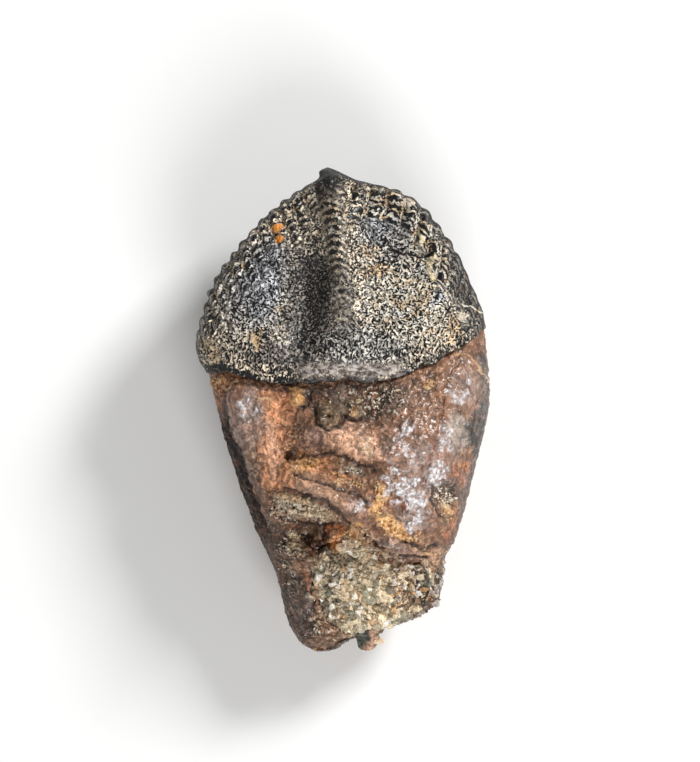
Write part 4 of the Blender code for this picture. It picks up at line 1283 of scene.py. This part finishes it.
def bent_place(tree, place, amount, pitch):
    """A place moved about by slow noise, so that straight patterns on it become crooked."""
    shift = vectors(tree, "SUBTRACT", noise(tree, place, pitch, 1.0, output="Color"), HALF)
    return vectors(tree, "ADD", place, scaled(tree, shift, amount))


def winding_lines(tree, place, pitch, width):
    """1 along winding lines, falling to 0 beside them."""
    away = maths(tree, "ABSOLUTE", noise(tree, place, pitch, 0.0) - 0.5)
    return ramp(tree, away, width, 0.0)


def arcs(tree, along, across, fall, pitch):
    """Waves from -1 to 1 that run across as arches, with their tops at the middle."""
    drop = across * across * fall
    return maths(tree, "COSINE", (along + drop) * (2 * np.pi / pitch))


def enamel_pattern(tree):
    """How light each place is, from 0 to 1, how high it stands and where the rows' grooves are."""
    rest = read(tree, "rest")
    bent = bent_place(tree, rest, BEND, BEND_PITCH)
    cut = 0.5 - read(tree, "fill") * CUT_BY_FILL
    slow = (noise(tree, rest, 0.9, 2.0) - 0.5) * 0.1
    field = noise(tree, bent, WRINKLE_PITCH, 0.6, 0.5) + slow
    drawn = noise(tree, vectors(tree, "MULTIPLY", bent, (1.0, 0.5, 1.0)), WRINKLE_PITCH * 0.85, 0.6)
    field = blend(tree, read(tree, "stria_share"), field, drawn)
    above = field - cut - read(tree, "bare") * CUT_BY_BARE
    light = ramp(tree, above, -WRINKLE_CUT, WRINKLE_CUT)

    comb = wires(tree, add_node(tree, "ShaderNodeSeparateXYZ", {0: read(tree, "comb")}))
    shift = (noise(tree, rest, 0.7, 2.0) - 0.5) * 1.2
    sway = (noise(tree, bent, 0.5, 2.0) - 0.5) * 0.6
    across = maths(tree, "FRACT", comb["X"] + sway + 0.5) - 0.5
    along = (comb["Y"] + shift) * -1.0
    wave = arcs(tree, along, across, CRESCENT_FALL, CRESCENT_PITCH) + above * CRESCENT_ROUGH
    side = maths(tree, "ABSOLUTE", across)
    crescents = ramp(tree, wave, -0.1, -0.6) * ramp(tree, side, 0.38, 0.28)
    groove = ramp(tree, side, 0.34, 0.42) * ramp(tree, above, -0.08, 0.0)
    crescents = maths(tree, "MAXIMUM", crescents, groove)
    row_share = ramp(tree, noise(tree, rest, 1.3, 2.0), 0.34, 0.42) * read(tree, "comb_share")
    light = blend(tree, row_share, light, crescents)

    height_along = add(tree, "ShaderNodeSeparateXYZ", {0: bent}, "Y")
    arch = arcs(tree, height_along, read(tree, "ridge_offset"), ARCH_FALL, ARCH_PITCH)
    arch_share = ramp(tree, noise(tree, rest, 0.8, 2.0), 0.34, 0.46) * read(tree, "arch_share")
    arched = ramp(tree, arch + above * ARCH_ROUGH, -0.05, -0.5)
    light = blend(tree, arch_share, light, arched)
    dome = ramp(tree, side, 0.5, 0.1) * row_share
    return light, 0.5 - light + dome * 0.8, groove * row_share


print("wrinkles are about", WRINKLE_PITCH * 1.6, "mm apart")

# %% [markdown]
# Geometry Nodes push the points of a skin out along their normals, by the pattern and by a slower swell.
# The tree has named inputs for its sizes, and its result is turned into a plain mesh, so the relief is in
# the mesh and not only in the shading. No point is pushed below the level of the floor.

# %% Push relief into the skins
FLOOR_CORNER = (-1.0, -1.0, 0.0)


def new_geometry_tree(name, kinds):
    """A tree from geometry to geometry with named inputs of the given kinds, and those inputs as wires."""
    tree = bpy.data.node_groups.new(name, "GeometryNodeTree")
    sockets = {}
    for label, kind in {"Geometry": "Geometry", **kinds, "Material": "Material"}.items():
        sockets[label] = tree.interface.new_socket(label, in_out="INPUT", socket_type="NodeSocket" + kind)
    tree.interface.new_socket("Geometry", in_out="OUTPUT", socket_type="NodeSocketGeometry")
    return tree, sockets, wires(tree, tree.nodes.new("NodeGroupInput"))


def end_tree(tree, geometry, material):
    dressed = add(tree, "GeometryNodeSetMaterial", {"Geometry": geometry, "Material": material})
    feed(tree, tree.nodes.new("NodeGroupOutput").inputs[0], dressed)


def new_relief_tree(name, heights, kept=None):
    """A tree that moves every point out by a sum of heights, each with a named size in metres.

    The kept numbers are stored on the points, for the scatter of crumbs.
    """
    tree, sockets, given = new_geometry_tree(name, dict.fromkeys(heights, "Float"))
    total = None
    for label, height in heights.items():
        part = height(tree) * given[label]
        total = part if total is None else total + part
    offset = scaled(tree, add(tree, "GeometryNodeInputNormal"), total)
    place = vectors(tree, "ADD", add(tree, "GeometryNodeInputPosition"), offset)
    place = vectors(tree, "MAXIMUM", place, FLOOR_CORNER)
    moved = add(tree, "GeometryNodeSetPosition", {"Geometry": given["Geometry"], "Position": place})
    for label, value in (kept or {}).items():
        inputs = {"Geometry": moved, "Name": label, "Value": value(tree)}
        moved = add(tree, "GeometryNodeStoreNamedAttribute", inputs, data_type="FLOAT", domain="POINT")
    end_tree(tree, add(tree, "GeometryNodeRealizeInstances", {0: moved}), given["Material"])
    return tree, sockets


def run_tree(obj, tree, sockets, values, name=None):
    """Runs a Geometry Nodes tree on an object and keeps the result as its plain mesh."""
    modifier = obj.modifiers.new("nodes", "NODES")
    modifier.node_group = tree
    for label, value in values.items():
        modifier[sockets[label].identifier] = value
    graph = bpy.context.evaluated_depsgraph_get()
    mesh = bpy.data.meshes.new_from_object(obj.evaluated_get(graph))
    obj.modifiers.remove(modifier)
    if name:
        made = bpy.data.objects.new(name, mesh)
        bpy.context.scene.collection.objects.link(made)
        return made
    old = obj.data
    obj.data = mesh
    bpy.data.meshes.remove(old)
    mesh.name = obj.name
    return obj


def triangles(obj):
    return sum(len(p.vertices) - 2 for p in obj.data.polygons)


def centred_noise(tree, pitch, detail=1.0, rough=0.5):
    return noise(tree, read(tree, "rest"), pitch, detail, rough) - 0.5


def enamel_relief(tree):
    """The pattern's height, less where the enamel is bare and smooth."""
    _, height, _ = enamel_pattern(tree)
    smooth = maths(tree, "MAXIMUM", read(tree, "bare") * 0.4, read(tree, "band"))
    return height * (1.0 - smooth)


slow_swell = partial(centred_noise, pitch=2.4, detail=2.0)
print("relief tools:", ", ".join(f.__name__ for f in (new_relief_tree, run_tree, centred_noise)))

# %% [markdown]
# The enamel's material reads the same pattern. High places are near black and shiny. The lines between them
# are lighter, in the painted colour, and turn to cream where sediment fills them, first of all in the
# grooves between the rows. Where sediment lies the surface is dull, and elsewhere a clear coat gives the
# small bumps their glints.

# %% Enamel material
def new_material(name, roughness, coat, coat_roughness):
    made = bpy.data.materials.new(name)
    made.use_nodes = True
    shader = made.node_tree.nodes["Principled BSDF"]
    shader.inputs["Roughness"].default_value = roughness
    shader.inputs["Coat Weight"].default_value = coat
    shader.inputs["Coat Roughness"].default_value = coat_roughness
    return made, made.node_tree, shader


def bump(tree, height, distance):
    """A Bump node whose height of 1 stands for the given millimetres."""
    inputs = {"Strength": 1.0, "Distance": distance * MM, "Height": height}
    return add(tree, "ShaderNodeBump", inputs)


def paint(*rgb):
    return (*srgb(*rgb), 1.0)


def times(tree, colour, value):
    """A colour made lighter or darker by a value."""
    grey = add(tree, "ShaderNodeCombineXYZ", {0: value, 1: value, 2: value})
    return blend_colour(tree, 1.0, colour, grey, "MULTIPLY")


def make_enamel():
    made, tree, shader = new_material("black_enamel", 0.3, 0.2, 0.15)
    shader.inputs["Specular IOR Level"].default_value = 0.3
    rest = read(tree, "rest")
    tone = read(tree, "tone")
    bare = read(tree, "bare")
    band = read(tree, "band")
    light, height, groove = enamel_pattern(tree)
    broken = noise(tree, rest, 0.13, 2.0, 0.6)
    rough = 1.0 - maths(tree, "MAXIMUM", bare, band) * 0.75
    light = light * rough

    # The sparkle brightens some of the light lines: random tone, and in part painted highlights.
    sparkle = ramp(tree, noise(tree, rest, 0.3, 2.0, 0.7), 0.36, 0.66, 0.35, 1.75)
    cloud = ramp(tree, noise(tree, rest, 1.3, 2.0, 0.6), 0.35, 0.66, 0.75, 1.2)
    line_colour = times(tree, tone, sparkle * cloud)
    speck = ramp(tree, noise(tree, rest, 0.17, 2.0, 0.7), 0.35, 0.7, 0.6, 1.2)
    warm = ramp(tree, noise(tree, rest, 0.8, 1.0), 0.4, 0.6)
    cream = blend_colour(tree, warm, paint(236, 230, 214), paint(218, 192, 158))
    shift = noise(tree, rest, 0.5, 3.0, 0.7) - 0.5
    creamy = ramp(tree, read(tree, "fill") * (groove + 1.0) + shift * 2.2, 0.3, 0.75)
    line_colour = blend_colour(tree, creamy, line_colour, times(tree, cream, speck))

    patches = ramp(tree, noise(tree, rest, 0.5, 2.0), 0.35, 0.75)
    black = blend_colour(tree, patches, paint(10, 10, 11), paint(30, 29, 30))
    # The smooth band at the base is grey with light streaks, which stand partly for painted glints.
    band_streaks_and_glints = noise(tree, vectors(tree, "MULTIPLY", rest, (0.5, 1.0, 1.0)), 0.3, 3.0, 0.6)
    grey = blend_colour(tree, ramp(tree, band_streaks_and_glints, 0.42, 0.6), paint(88, 76, 72), paint(208, 198, 192))
    band_share = band * ramp(tree, noise(tree, rest, 0.9, 2.0), 0.3, 0.5, 0.5, 0.95)
    black = blend_colour(tree, band_share, black, grey)
    colour = blend_colour(tree, light, black, line_colour)

    solid = ramp(tree, read(tree, "solid") + shift * 1.6, 0.4, 0.6)
    edge = read(tree, "pale_vein") + broken * 0.12
    covered = maths(tree, "MAXIMUM", solid, ramp(tree, edge, 0.16, 0.08))
    cover = blend_colour(tree, solid, cream, times(tree, tone, 1.15))
    colour = blend_colour(tree, covered, colour, times(tree, cover, speck))
    black_vein = ramp(tree, read(tree, "black_vein"), 0.17, 0.08)
    colour = blend_colour(tree, black_vein, colour, paint(10, 9, 9))
    feed(tree, shader.inputs["Base Color"], colour)
    dull = maths(tree, "MAXIMUM", covered, light * 0.7)
    dull = maths(tree, "MAXIMUM", dull, ramp(tree, bare, 0.2, 1.0, 0.0, 0.8))
    feed(tree, shader.inputs["Roughness"], blend(tree, dull, 0.34, 0.8))
    feed(tree, shader.inputs["Normal"], bump(tree, height * rough + broken * 0.4, 0.06))
    return made


enamel = make_enamel()
crown_tree, crown_sockets = new_relief_tree("enamel_relief", {"Pattern": enamel_relief, "Swell": slow_swell})
crown_values = {"Pattern": 0.09 * MM, "Swell": 0.3 * MM, "Material": enamel}
crown = run_tree(crown, crown_tree, crown_sockets, crown_values)
print("crown triangles:", triangles(crown))

# %% [markdown]
# The root is fossil bone: brown, waxy and polished where it bulges, with crust in its hollows. Small lumps
# and wrinkles run all over it, with painted shade between them, painted highlights on top and small painted
# glints on their crests. Crust and grit lie in patches that fray out at their borders, painted dark between
# their clumps and light on top as shade and highlight. Painted highlights lie where the bone is polished
# best, in a mosaic of little fields that differ in brightness. Creases follow the folds, and are painted dark
# as shade, because light hardly gets in.

# %% Root material
CLUMP_PITCH = 0.24
MOSAIC_PITCH = 0.85
CREASE_WIDTH = 0.16
CREASE_DEPTH = 0.2


def ragged(tree, name):
    """A number of the skin turned into patches with frayed borders."""
    shift = centred_noise(tree, 0.6, 4.0, 0.75) * 2.4
    return ramp(tree, read(tree, name) + shift, 0.42, 0.66)


def crinkle(tree):
    """Small lumps and wrinkles, from 0 between them to 1 on top."""
    rest = read(tree, "rest")
    bent = bent_place(tree, rest, 0.6, 0.8)
    lumps = ramp(tree, noise(tree, bent, 0.42, 2.0, 0.5), 0.36, 0.64)
    lines = winding_lines(tree, bent, 0.6, 0.05)
    return lumps - lines * 0.35


def clumps(tree):
    """Grains and clumps of many sizes, about 0.3 low and 0.7 high."""
    rest = read(tree, "rest")
    return noise(tree, bent_place(tree, rest, 0.3, 0.4), CLUMP_PITCH, 2.0, 0.65)


def crease_depth(tree):
    shift = centred_noise(tree, 0.3, 2.0) * 0.35
    return ramp(tree, read(tree, "crease") + shift, CREASE_WIDTH * 1.6, 0.02)


def coarse_share(tree):
    return maths(tree, "MAXIMUM", ragged(tree, "crust"), ragged(tree, "grit"))


def wrinkle_relief(tree):
    smooth = 1.0 - coarse_share(tree) * 0.7
    return (crinkle(tree) - 0.5) * smooth


def clump_relief(tree):
    return (clumps(tree) - 0.45) * coarse_share(tree)


def crease_relief(tree):
    return crease_depth(tree) * -1.0


def clump_shade_and_light(tree, value, dark, middle, light):
    """Painted shade in the gaps, a middle colour and painted highlights on the tops, by one value."""
    lower = blend_colour(tree, ramp(tree, value, 0.41, 0.5), dark, middle)
    return blend_colour(tree, ramp(tree, value, 0.53, 0.59), lower, light)


def make_root():
    made, tree, shader = new_material("waxy_root", 0.4, 0.4, 0.2)
    shader.inputs["Specular IOR Level"].default_value = 0.4
    rest = read(tree, "rest")
    tone = read(tree, "tone")
    crust = ragged(tree, "crust")
    grit = ragged(tree, "grit")
    coarse = maths(tree, "MAXIMUM", crust, grit)
    wrinkles = crinkle(tree)
    grain = clumps(tree)
    polish = read(tree, "polish") * (1.0 - coarse)

    clouds = ramp(tree, noise(tree, rest, 1.0, 4.0, 0.65), 0.32, 0.68, 0.6, 1.35)
    fine = ramp(tree, noise(tree, rest, 0.16, 2.0, 0.7), 0.32, 0.68, 0.76, 1.2)
    calm = polish * ramp(tree, noise(tree, rest, 1.6, 1.0), 0.35, 0.6, 0.4, 0.9)
    # Painted shade and highlight: the colour is darker between the lumps and lighter on their tops.
    painted_lump_shading = ramp(tree, wrinkles, 0.0, 0.9, 0.6, 1.25)
    lumps = blend(tree, calm, painted_lump_shading, ramp(tree, wrinkles, 0.0, 0.9, 0.84, 1.08))
    colour = times(tree, tone, clouds * lumps * fine)
    warm = ramp(tree, noise(tree, rest, 0.9, 3.0, 0.6), 0.5, 0.66, 0.0, 0.22)
    colour = blend_colour(tree, warm, colour, times(tree, paint(186, 124, 84), lumps))
    # Painted glints: small bright specks on the crests of the wrinkles.
    specks = noise(tree, bent_place(tree, rest, 0.3, 0.3), 0.2, 2.0, 0.6)
    painted_glints = ramp(tree, specks, 0.56, 0.66) * ramp(tree, wrinkles, 0.3, 0.8)
    bright = blend_colour(tree, 0.5, times(tree, tone, 1.6), paint(236, 216, 204))
    colour = blend_colour(tree, painted_glints * 0.6, colour, bright)

    place = bent_place(tree, rest, 0.6, 0.5)
    fields = cells(tree, place, MOSAIC_PITCH)
    own = cell_number(tree, place, MOSAIC_PITCH) - 0.5
    frayed = (noise(tree, rest, 0.8, 3.0, 0.55) - 0.5) * 1.6 + own * 0.7
    # Painted highlight: pale milky fields on the polished bulges, in a mosaic of little fields that differ in
    # brightness.
    painted_highlight = ramp(tree, read(tree, "painted_highlight") + frayed, 0.35, 0.85, 0.0, 0.85)
    painted_highlight = painted_highlight * ramp(tree, read(tree, "painted_highlight"), 0.05, 0.3) * ramp(tree, fields, 0.01, 0.06, 0.35, 1.0)
    shine = ramp(tree, noise(tree, bent_place(tree, rest, 0.5, 0.4), 0.34, 3.0, 0.55), 0.4, 0.62)
    painted_highlight_colour = blend_colour(tree, shine, paint(164, 146, 138), paint(248, 249, 254))
    colour = blend_colour(tree, painted_highlight, colour, painted_highlight_colour)

    # Crust and grit clumps: painted shade in their gaps and painted highlights on their tops.
    ochre = clump_shade_and_light(tree, grain, paint(96, 64, 42), paint(212, 156, 102), paint(252, 224, 174))
    stony = clump_shade_and_light(tree, grain, paint(54, 44, 38), times(tree, tone, 1.2), paint(252, 244, 228))
    covered = blend_colour(tree, crust, stony, blend_colour(tree, 0.3, ochre, times(tree, tone, 1.2)))
    colour = blend_colour(tree, coarse * 0.85, colour, covered)

    rust = ramp(tree, read(tree, "rust_vein") + wrinkles * 0.1, 0.17, 0.08)
    colour = blend_colour(tree, rust * 0.8, colour, paint(120, 72, 50))
    pale_vein = ramp(tree, read(tree, "pale_vein") + wrinkles * 0.1, 0.15, 0.08, 0.0, 0.8)
    colour = blend_colour(tree, pale_vein, colour, paint(214, 176, 130))
    # Painted shade in the creases.
    colour = blend_colour(tree, crease_depth(tree) * 0.9, colour, paint(42, 30, 24))
    feed(tree, shader.inputs["Base Color"], colour)
    dull = ramp(tree, noise(tree, rest, 0.6, 2.0), 0.4, 0.65, 0.0, 0.2)
    feed(tree, shader.inputs["Roughness"], blend(tree, polish, 0.66, 0.28) + dull)
    feed(tree, shader.inputs["Coat Weight"], polish * 0.8)
    height = blend(tree, coarse, wrinkles * blend(tree, calm, 0.7, 0.3), grain)
    pores = ramp(tree, noise(tree, rest, 0.12, 1.0), 0.3, 0.65)
    feed(tree, shader.inputs["Normal"], bump(tree, height + pores * 0.2, 0.15))
    return made


root_paint = make_root()
root_heights = {
    "Swell": slow_swell,
    "Lumps": partial(centred_noise, pitch=0.8, detail=2.0, rough=0.55),
    "Wrinkles": wrinkle_relief,
    "Clumps": clump_relief,
    "Creases": crease_relief,
}
kept_names = {"crusted": "crust", "gritty": "grit", "sandy": "sand"}
root_kept = {label: partial(ragged, name=name) for label, name in kept_names.items()}
root_tree, root_sockets = new_relief_tree("root_relief", root_heights, root_kept)
root_values = {"Swell": 0.4 * MM, "Lumps": 0.3 * MM, "Wrinkles": 0.1 * MM, "Clumps": 0.95 * MM}
root_values |= {"Creases": CREASE_DEPTH * MM, "Material": root_paint}
root = run_tree(root, root_tree, root_sockets, root_values)
print("root triangles:", triangles(root))

# %% [markdown]
# The sandstone in the root's hollow is packed sand. First comes its mass, a low dome with an uneven top. At
# its upper left it sinks into the cavity behind the lip, where a rust-coloured lump lies. The small chip
# below it is part of the same rock, green grey on its left and pink on its right.

# %% Sandstone mass
STONE_SPOKES = 200
STONE_RINGS = 60
STONE_GROW = 0.12
STONE_WALLS = ((5.4, 1.0), (4.6, 0.92), (PLUG_FLOOR, 0.76))
CHIP = (1.9, -18.1, 0.9, 0.9, 0.0)
CHIP_EDGE = (1.2, -18.5, 0.6, 0.7, 0.0)
CHIP_DROP = 0.9
CHIP_TOP = -17.0
PINK_START = (1.9, -18.3)
PINK_SLANT = 0.5
CAVITY = (-1.1, -10.3, 1.3, 1.1, 0.0)
CAVITY_DEPTH = 1.7
IRON_LUMP = (-0.5, -10.6, 0.5, 0.7, 0.0)
IRON_LUMP_HEIGHT = 0.9
STONE_BUMPS = ((0.3, 1.3), (0.18, 0.6), (0.08, 0.25))
STONE_GRAIN = 0.2
BROWN_SIDE = (6.3, -14.0, 1.0, 1.8, 0.0)
STONE_SPOTS = (
    ("sand grey", -0.6, -12.6, 1.6, 1.1, 0.0, 0.8),
    ("olive", 0.2, -11.6, 1.3, 0.4, 0.0, 0.8),
    ("sand grey", 0.6, -16.2, 1.8, 1.0, 0.0, 0.6),
    ("cream", 1.9, -13.4, 1.3, 1.0, 0.0, 0.8),
    ("brown", 4.9, -14.4, 1.4, 2.2, 0.0, 0.8),
    ("dark brown", 6.2, -14.0, 1.2, 2.1, 0.0, 1.0),
    ("green grey", 3.4, -11.8, 1.4, 0.5, -20.0, 0.7),
    ("green grey", -0.9, -14.6, 0.9, 1.4, 0.0, 0.6),
    ("brown", 4.8, -12.6, 1.6, 0.5, 0.0, 0.6),
    ("deep brown", -1.5, -10.3, 1.4, 1.0, 0.0, 1.0),
    ("bright rust", -0.5, -10.6, 0.6, 0.9, 0.0, 0.95),
    ("dark rust", -0.1, -11.0, 0.5, 0.3, 0.0, 0.8),
)


def stone_top(x, y):
    crest = smooth_height(y, STATIONS, FACE) - LIP_DROP - PLUG_SINK
    side = smooth_height(y, STATIONS, RIGHT_SIDE)
    across = np.clip((x - ROOT_MIDDLE) / ROOT_HALF_WIDTH, -1.0, 1.0)
    bumps = sum(size * wander(x, y, pitch, 41 + i) for i, (size, pitch) in enumerate(STONE_BUMPS))
    hollows = CAVITY_DEPTH * form(x, y, *CAVITY) + CHIP_DROP * form(x, y, *CHIP_EDGE)
    lump = IRON_LUMP_HEIGHT * form(x, y, *IRON_LUMP)
    return side + (crest - side) * np.sqrt(1.0 - across**2) + bumps - hollows + lump


def make_stone():
    outline, length = traced_line(PLUG_OUTLINE, closed=True)
    steps = np.linspace(0.0, length[-1], STONE_SPOKES, endpoint=False)
    outline = at_lengths((outline, length), steps)
    middle = np.array(PLUG_MIDDLE)
    reach = np.linalg.norm(outline - middle, axis=1)[:, None]
    outline = middle + (outline - middle) * (1.0 + STONE_GROW / reach)
    rows = []
    for size in np.linspace(0.02, 1.0, STONE_RINGS):
        ring = middle + (outline - middle) * size
        rows.append(np.column_stack([ring, stone_top(*ring.T)]))
    for height, size in STONE_WALLS:
        ring = middle + (outline - middle) * size
        rows.append(np.column_stack([ring, np.full(len(ring), height)]))
    points = np.stack(rows)
    x, y = points[..., 0], points[..., 1]
    top = np.zeros(x.shape)
    top[:STONE_RINGS] = 1.0
    chip = form(x, y, *CHIP) * (y < CHIP_TOP)
    colour = painted(x, y, "sand", STONE_SPOTS)
    past_line = x - PINK_START[0] - PINK_SLANT * (y - PINK_START[1])
    pink = smoothstep((past_line + 0.4 * wander(x, y, 0.4, 44)) / 0.35 + 0.5)
    colour = shaded(colour, "green grey", smoothstep(chip * 3.0))
    colour = shaded(colour, "salmon", smoothstep(chip * 3.0) * pink)
    bare = np.minimum(chip * 2.0 + form(x, y, *CAVITY) * 0.9 + 0.6 * form(x, y, *BROWN_SIDE), 1.0)
    numbers = {"sandy": top * (1.0 - smoothstep(bare))}
    return make_skin("sandstone", points, numbers, colour, {}, (False, False))


def make_sandstone_paint():
    made, tree, shader = new_material("sandstone", 0.85, 0.0, 0.3)
    rest = read(tree, "rest")
    tone = read(tree, "tone")
    share = cell_number(tree, rest, STONE_GRAIN)
    clouds = ramp(tree, noise(tree, rest, 0.5, 3.0), 0.3, 0.7, 0.5, 1.4)
    light = ramp(tree, share, 0.0, 1.0, 0.35, 1.0) * clouds
    feed(tree, shader.inputs["Base Color"], times(tree, tone, light))
    feed(tree, shader.inputs["Normal"], bump(tree, cells(tree, rest, STONE_GRAIN), 0.1))
    return made


stone_paint = make_sandstone_paint()
stone = make_stone()
stone.data.materials.append(stone_paint)
print("sandstone triangles:", triangles(stone))

# %% [markdown]
# Then comes the sand itself. Geometry Nodes scatter points over a surface, put a small faceted ball on
# each, turn and squash it at random, and dent it with noise once it is real mesh. Every grain gets a random
# number, which its material turns into the colour of one kind of sand: quartz, feldspar, iron-stained or
# dark.

# %% Scatter sand grains
GRAIN_DENT_PITCH = 0.36
GRAIN_DENT = 0.75
GRAIN_CLOUD_PITCH = 0.15
MORE_SMALL = 1.8


def grain_tree(name):
    """Scatters dented balls over a surface, as thick as a named number on it says."""
    kinds = dict.fromkeys(("Spacing", "Density", "Smallest", "Largest", "Sink"), "Float")
    kinds |= {"Seed": "Int", "Rounding": "Int", "Where": "String"}
    tree, sockets, given = new_geometry_tree(name, kinds)
    where = add(tree, "GeometryNodeInputNamedAttribute", {"Name": given["Where"]}, data_type="FLOAT")
    inputs = {"Mesh": given["Geometry"], "Distance Min": given["Spacing"], "Density Max": given["Density"]}
    inputs |= {"Density Factor": where, "Seed": given["Seed"]}
    scatter = add_node(tree, "GeometryNodeDistributePointsOnFaces", inputs, distribute_method="POISSON")
    scatter = wires(tree, scatter)

    def chance(kind, low, high, salt):
        seed = given["Seed"] + float(salt)
        node = add_node(tree, "FunctionNodeRandomValue", {"Seed": seed}, data_type=kind)
        ends = [s for s in node.inputs if s.enabled and s.name in ("Min", "Max")]
        for end, value in zip(ends, (low, high)):
            feed(tree, end, value)
        return Wire(tree, next(s for s in node.outputs if s.enabled))

    share = maths(tree, "POWER", chance("FLOAT", 0.0, 1.0, 1), MORE_SMALL)
    size = blend(tree, share, given["Smallest"], given["Largest"])
    squash = chance("FLOAT_VECTOR", (0.55, 0.5, 0.4), (1.35, 1.0, 0.9), 2)
    turn = chance("FLOAT_VECTOR", (0.0, 0.0, 0.0), (6.28, 6.28, 6.28), 3)
    sunk = scaled(tree, scatter["Normal"], given["Sink"] * -1.0)
    points = add(tree, "GeometryNodeSetPosition", {"Geometry": scatter["Points"], "Offset": sunk})
    ball = add(tree, "GeometryNodeMeshIcoSphere", {"Radius": 0.5, "Subdivisions": given["Rounding"]})
    inputs = {"Points": points, "Instance": ball, "Rotation": turn, "Scale": scaled(tree, squash, size)}
    grains = add(tree, "GeometryNodeInstanceOnPoints", inputs)
    inputs = {"Geometry": grains, "Name": "kind", "Value": chance("FLOAT", 0.0, 1.0, 4)}
    grains = add(tree, "GeometryNodeStoreNamedAttribute", inputs, data_type="FLOAT", domain="INSTANCE")
    whole = add(tree, "GeometryNodeRealizeInstances", {0: grains})
    place = add(tree, "GeometryNodeInputPosition")
    dent = noise(tree, place, GRAIN_DENT_PITCH * MM, output="Color")
    dent = scaled(tree, vectors(tree, "SUBTRACT", dent, HALF), given["Largest"] * GRAIN_DENT)
    whole = add(tree, "GeometryNodeSetPosition", {"Geometry": whole, "Offset": dent})
    whole = add(tree, "GeometryNodeSetShadeSmooth", {"Geometry": whole, "Shade Smooth": False})
    end_tree(tree, whole, given["Material"])
    return tree, sockets


def make_grain_paint(name, kinds, own_share, roughness):
    """One colour for each grain, from a few kinds, with some of the ground's own colour mixed in."""
    made, tree, shader = new_material(name, roughness, 0.0, 0.3)
    pick = tree.nodes.new("ShaderNodeValToRGB")
    pick.color_ramp.interpolation = "CONSTANT"
    stops = pick.color_ramp.elements
    start = 0.0
    for number, (share, colour) in enumerate(kinds):
        stop = stops[0] if number == 0 else stops.new(start)
        stop.position = start
        stop.color = paint(*colour)
        start += share
    stops.remove(stops[-1])
    feed(tree, pick.inputs[0], read(tree, "kind"))
    own_colour = read(tree, "tone")
    colour = blend_colour(tree, own_share, Wire(tree, pick.outputs[0]), own_colour)
    place = add(tree, "ShaderNodeTexCoord", output="Object")
    cloud = noise(tree, place, GRAIN_CLOUD_PITCH * MM, 2.0)
    colour = times(tree, colour, ramp(tree, cloud, 0.3, 0.7, 0.65, 1.25))
    feed(tree, shader.inputs["Base Color"], colour)
    return made


def sand(spacing, density, sizes, seed, where, material, sink=0.0, rounding=2):
    """Inputs for the scatter: lengths in millimetres, density in points for each square millimetre."""
    values = {"Spacing": spacing * MM, "Smallest": sizes[0] * MM, "Largest": sizes[1] * MM, "Sink": sink * MM}
    values |= {"Density": density / MM**2, "Seed": seed, "Where": where, "Rounding": rounding}
    return values | {"Material": material}


SAND_KINDS = (
    (0.24, (248, 228, 194)),
    (0.16, (218, 194, 160)),
    (0.16, (255, 250, 238)),
    (0.11, (184, 174, 154)),
    (0.08, (206, 160, 112)),
    (0.08, (56, 56, 50)),
    (0.06, (118, 124, 108)),
    (0.11, (130, 104, 78)),
)
sand_paint = make_grain_paint("sand_grain", SAND_KINDS, 0.32, 0.42)
rim_paint = make_grain_paint("rim_grain", SAND_KINDS, 0.65, 0.5)
sand_tree, sand_sockets = grain_tree("sand_scatter")
coarse_values = sand(0.4, 26.0, (0.3, 1.05), 3, "sandy", sand_paint)
coarse_sand = run_tree(stone, sand_tree, sand_sockets, coarse_values, "coarse_sand")
fine_values = sand(0.12, 110.0, (0.14, 0.42), 5, "sandy", sand_paint, 0.02, 1)
fine_sand = run_tree(stone, sand_tree, sand_sockets, fine_values, "fine_sand")
for piece in (coarse_sand, fine_sand):
    print(piece.name, "triangles:", triangles(piece))

# %% [markdown]
# The same scatter puts crumbs on the root: ochre ones in the folds, pale grit in the hollows, and sand that
# has stayed round the hollow's rim. They take part of their colour from the root below them.

# %% Crumbs on the root
CRUST_KINDS = (
    (0.4, (216, 172, 118)),
    (0.35, (240, 212, 166)),
    (0.25, (164, 122, 84)),
)
GRIT_KINDS = (
    (0.34, (216, 198, 168)),
    (0.28, (160, 144, 122)),
    (0.2, (112, 94, 78)),
    (0.18, (240, 232, 212)),
)
crust_paint = make_grain_paint("crust_crumb", CRUST_KINDS, 0.45, 0.6)
grit_paint = make_grain_paint("grit_crumb", GRIT_KINDS, 0.5, 0.55)
crumb_values = {
    "crust_crumbs": sand(0.2, 9.0, (0.1, 0.55), 11, "crusted", crust_paint, 0.08),
    "grit_crumbs": sand(0.2, 9.0, (0.1, 0.5), 13, "gritty", grit_paint, 0.08),
    "rim_sand": sand(0.13, 60.0, (0.14, 0.7), 17, "sandy", rim_paint, 0.05, 1),
}
crumbs = []
for label, values in crumb_values.items():
    crumbs.append(run_tree(root, sand_tree, sand_sockets, values, label))
    print(label, "triangles:", triangles(crumbs[-1]))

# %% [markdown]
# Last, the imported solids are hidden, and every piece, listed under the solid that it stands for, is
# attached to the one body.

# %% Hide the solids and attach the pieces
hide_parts("tooth")
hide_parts("tooth")
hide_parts("matrix")
slots = {"tooth": (crown, root, *crumbs[:2]), "sandstone": (stone, coarse_sand, fine_sand, crumbs[2])}
for slot, pieces in slots.items():
    for piece in pieces:
        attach(piece, "root")
print({slot: len(pieces) for slot, pieces in slots.items()})
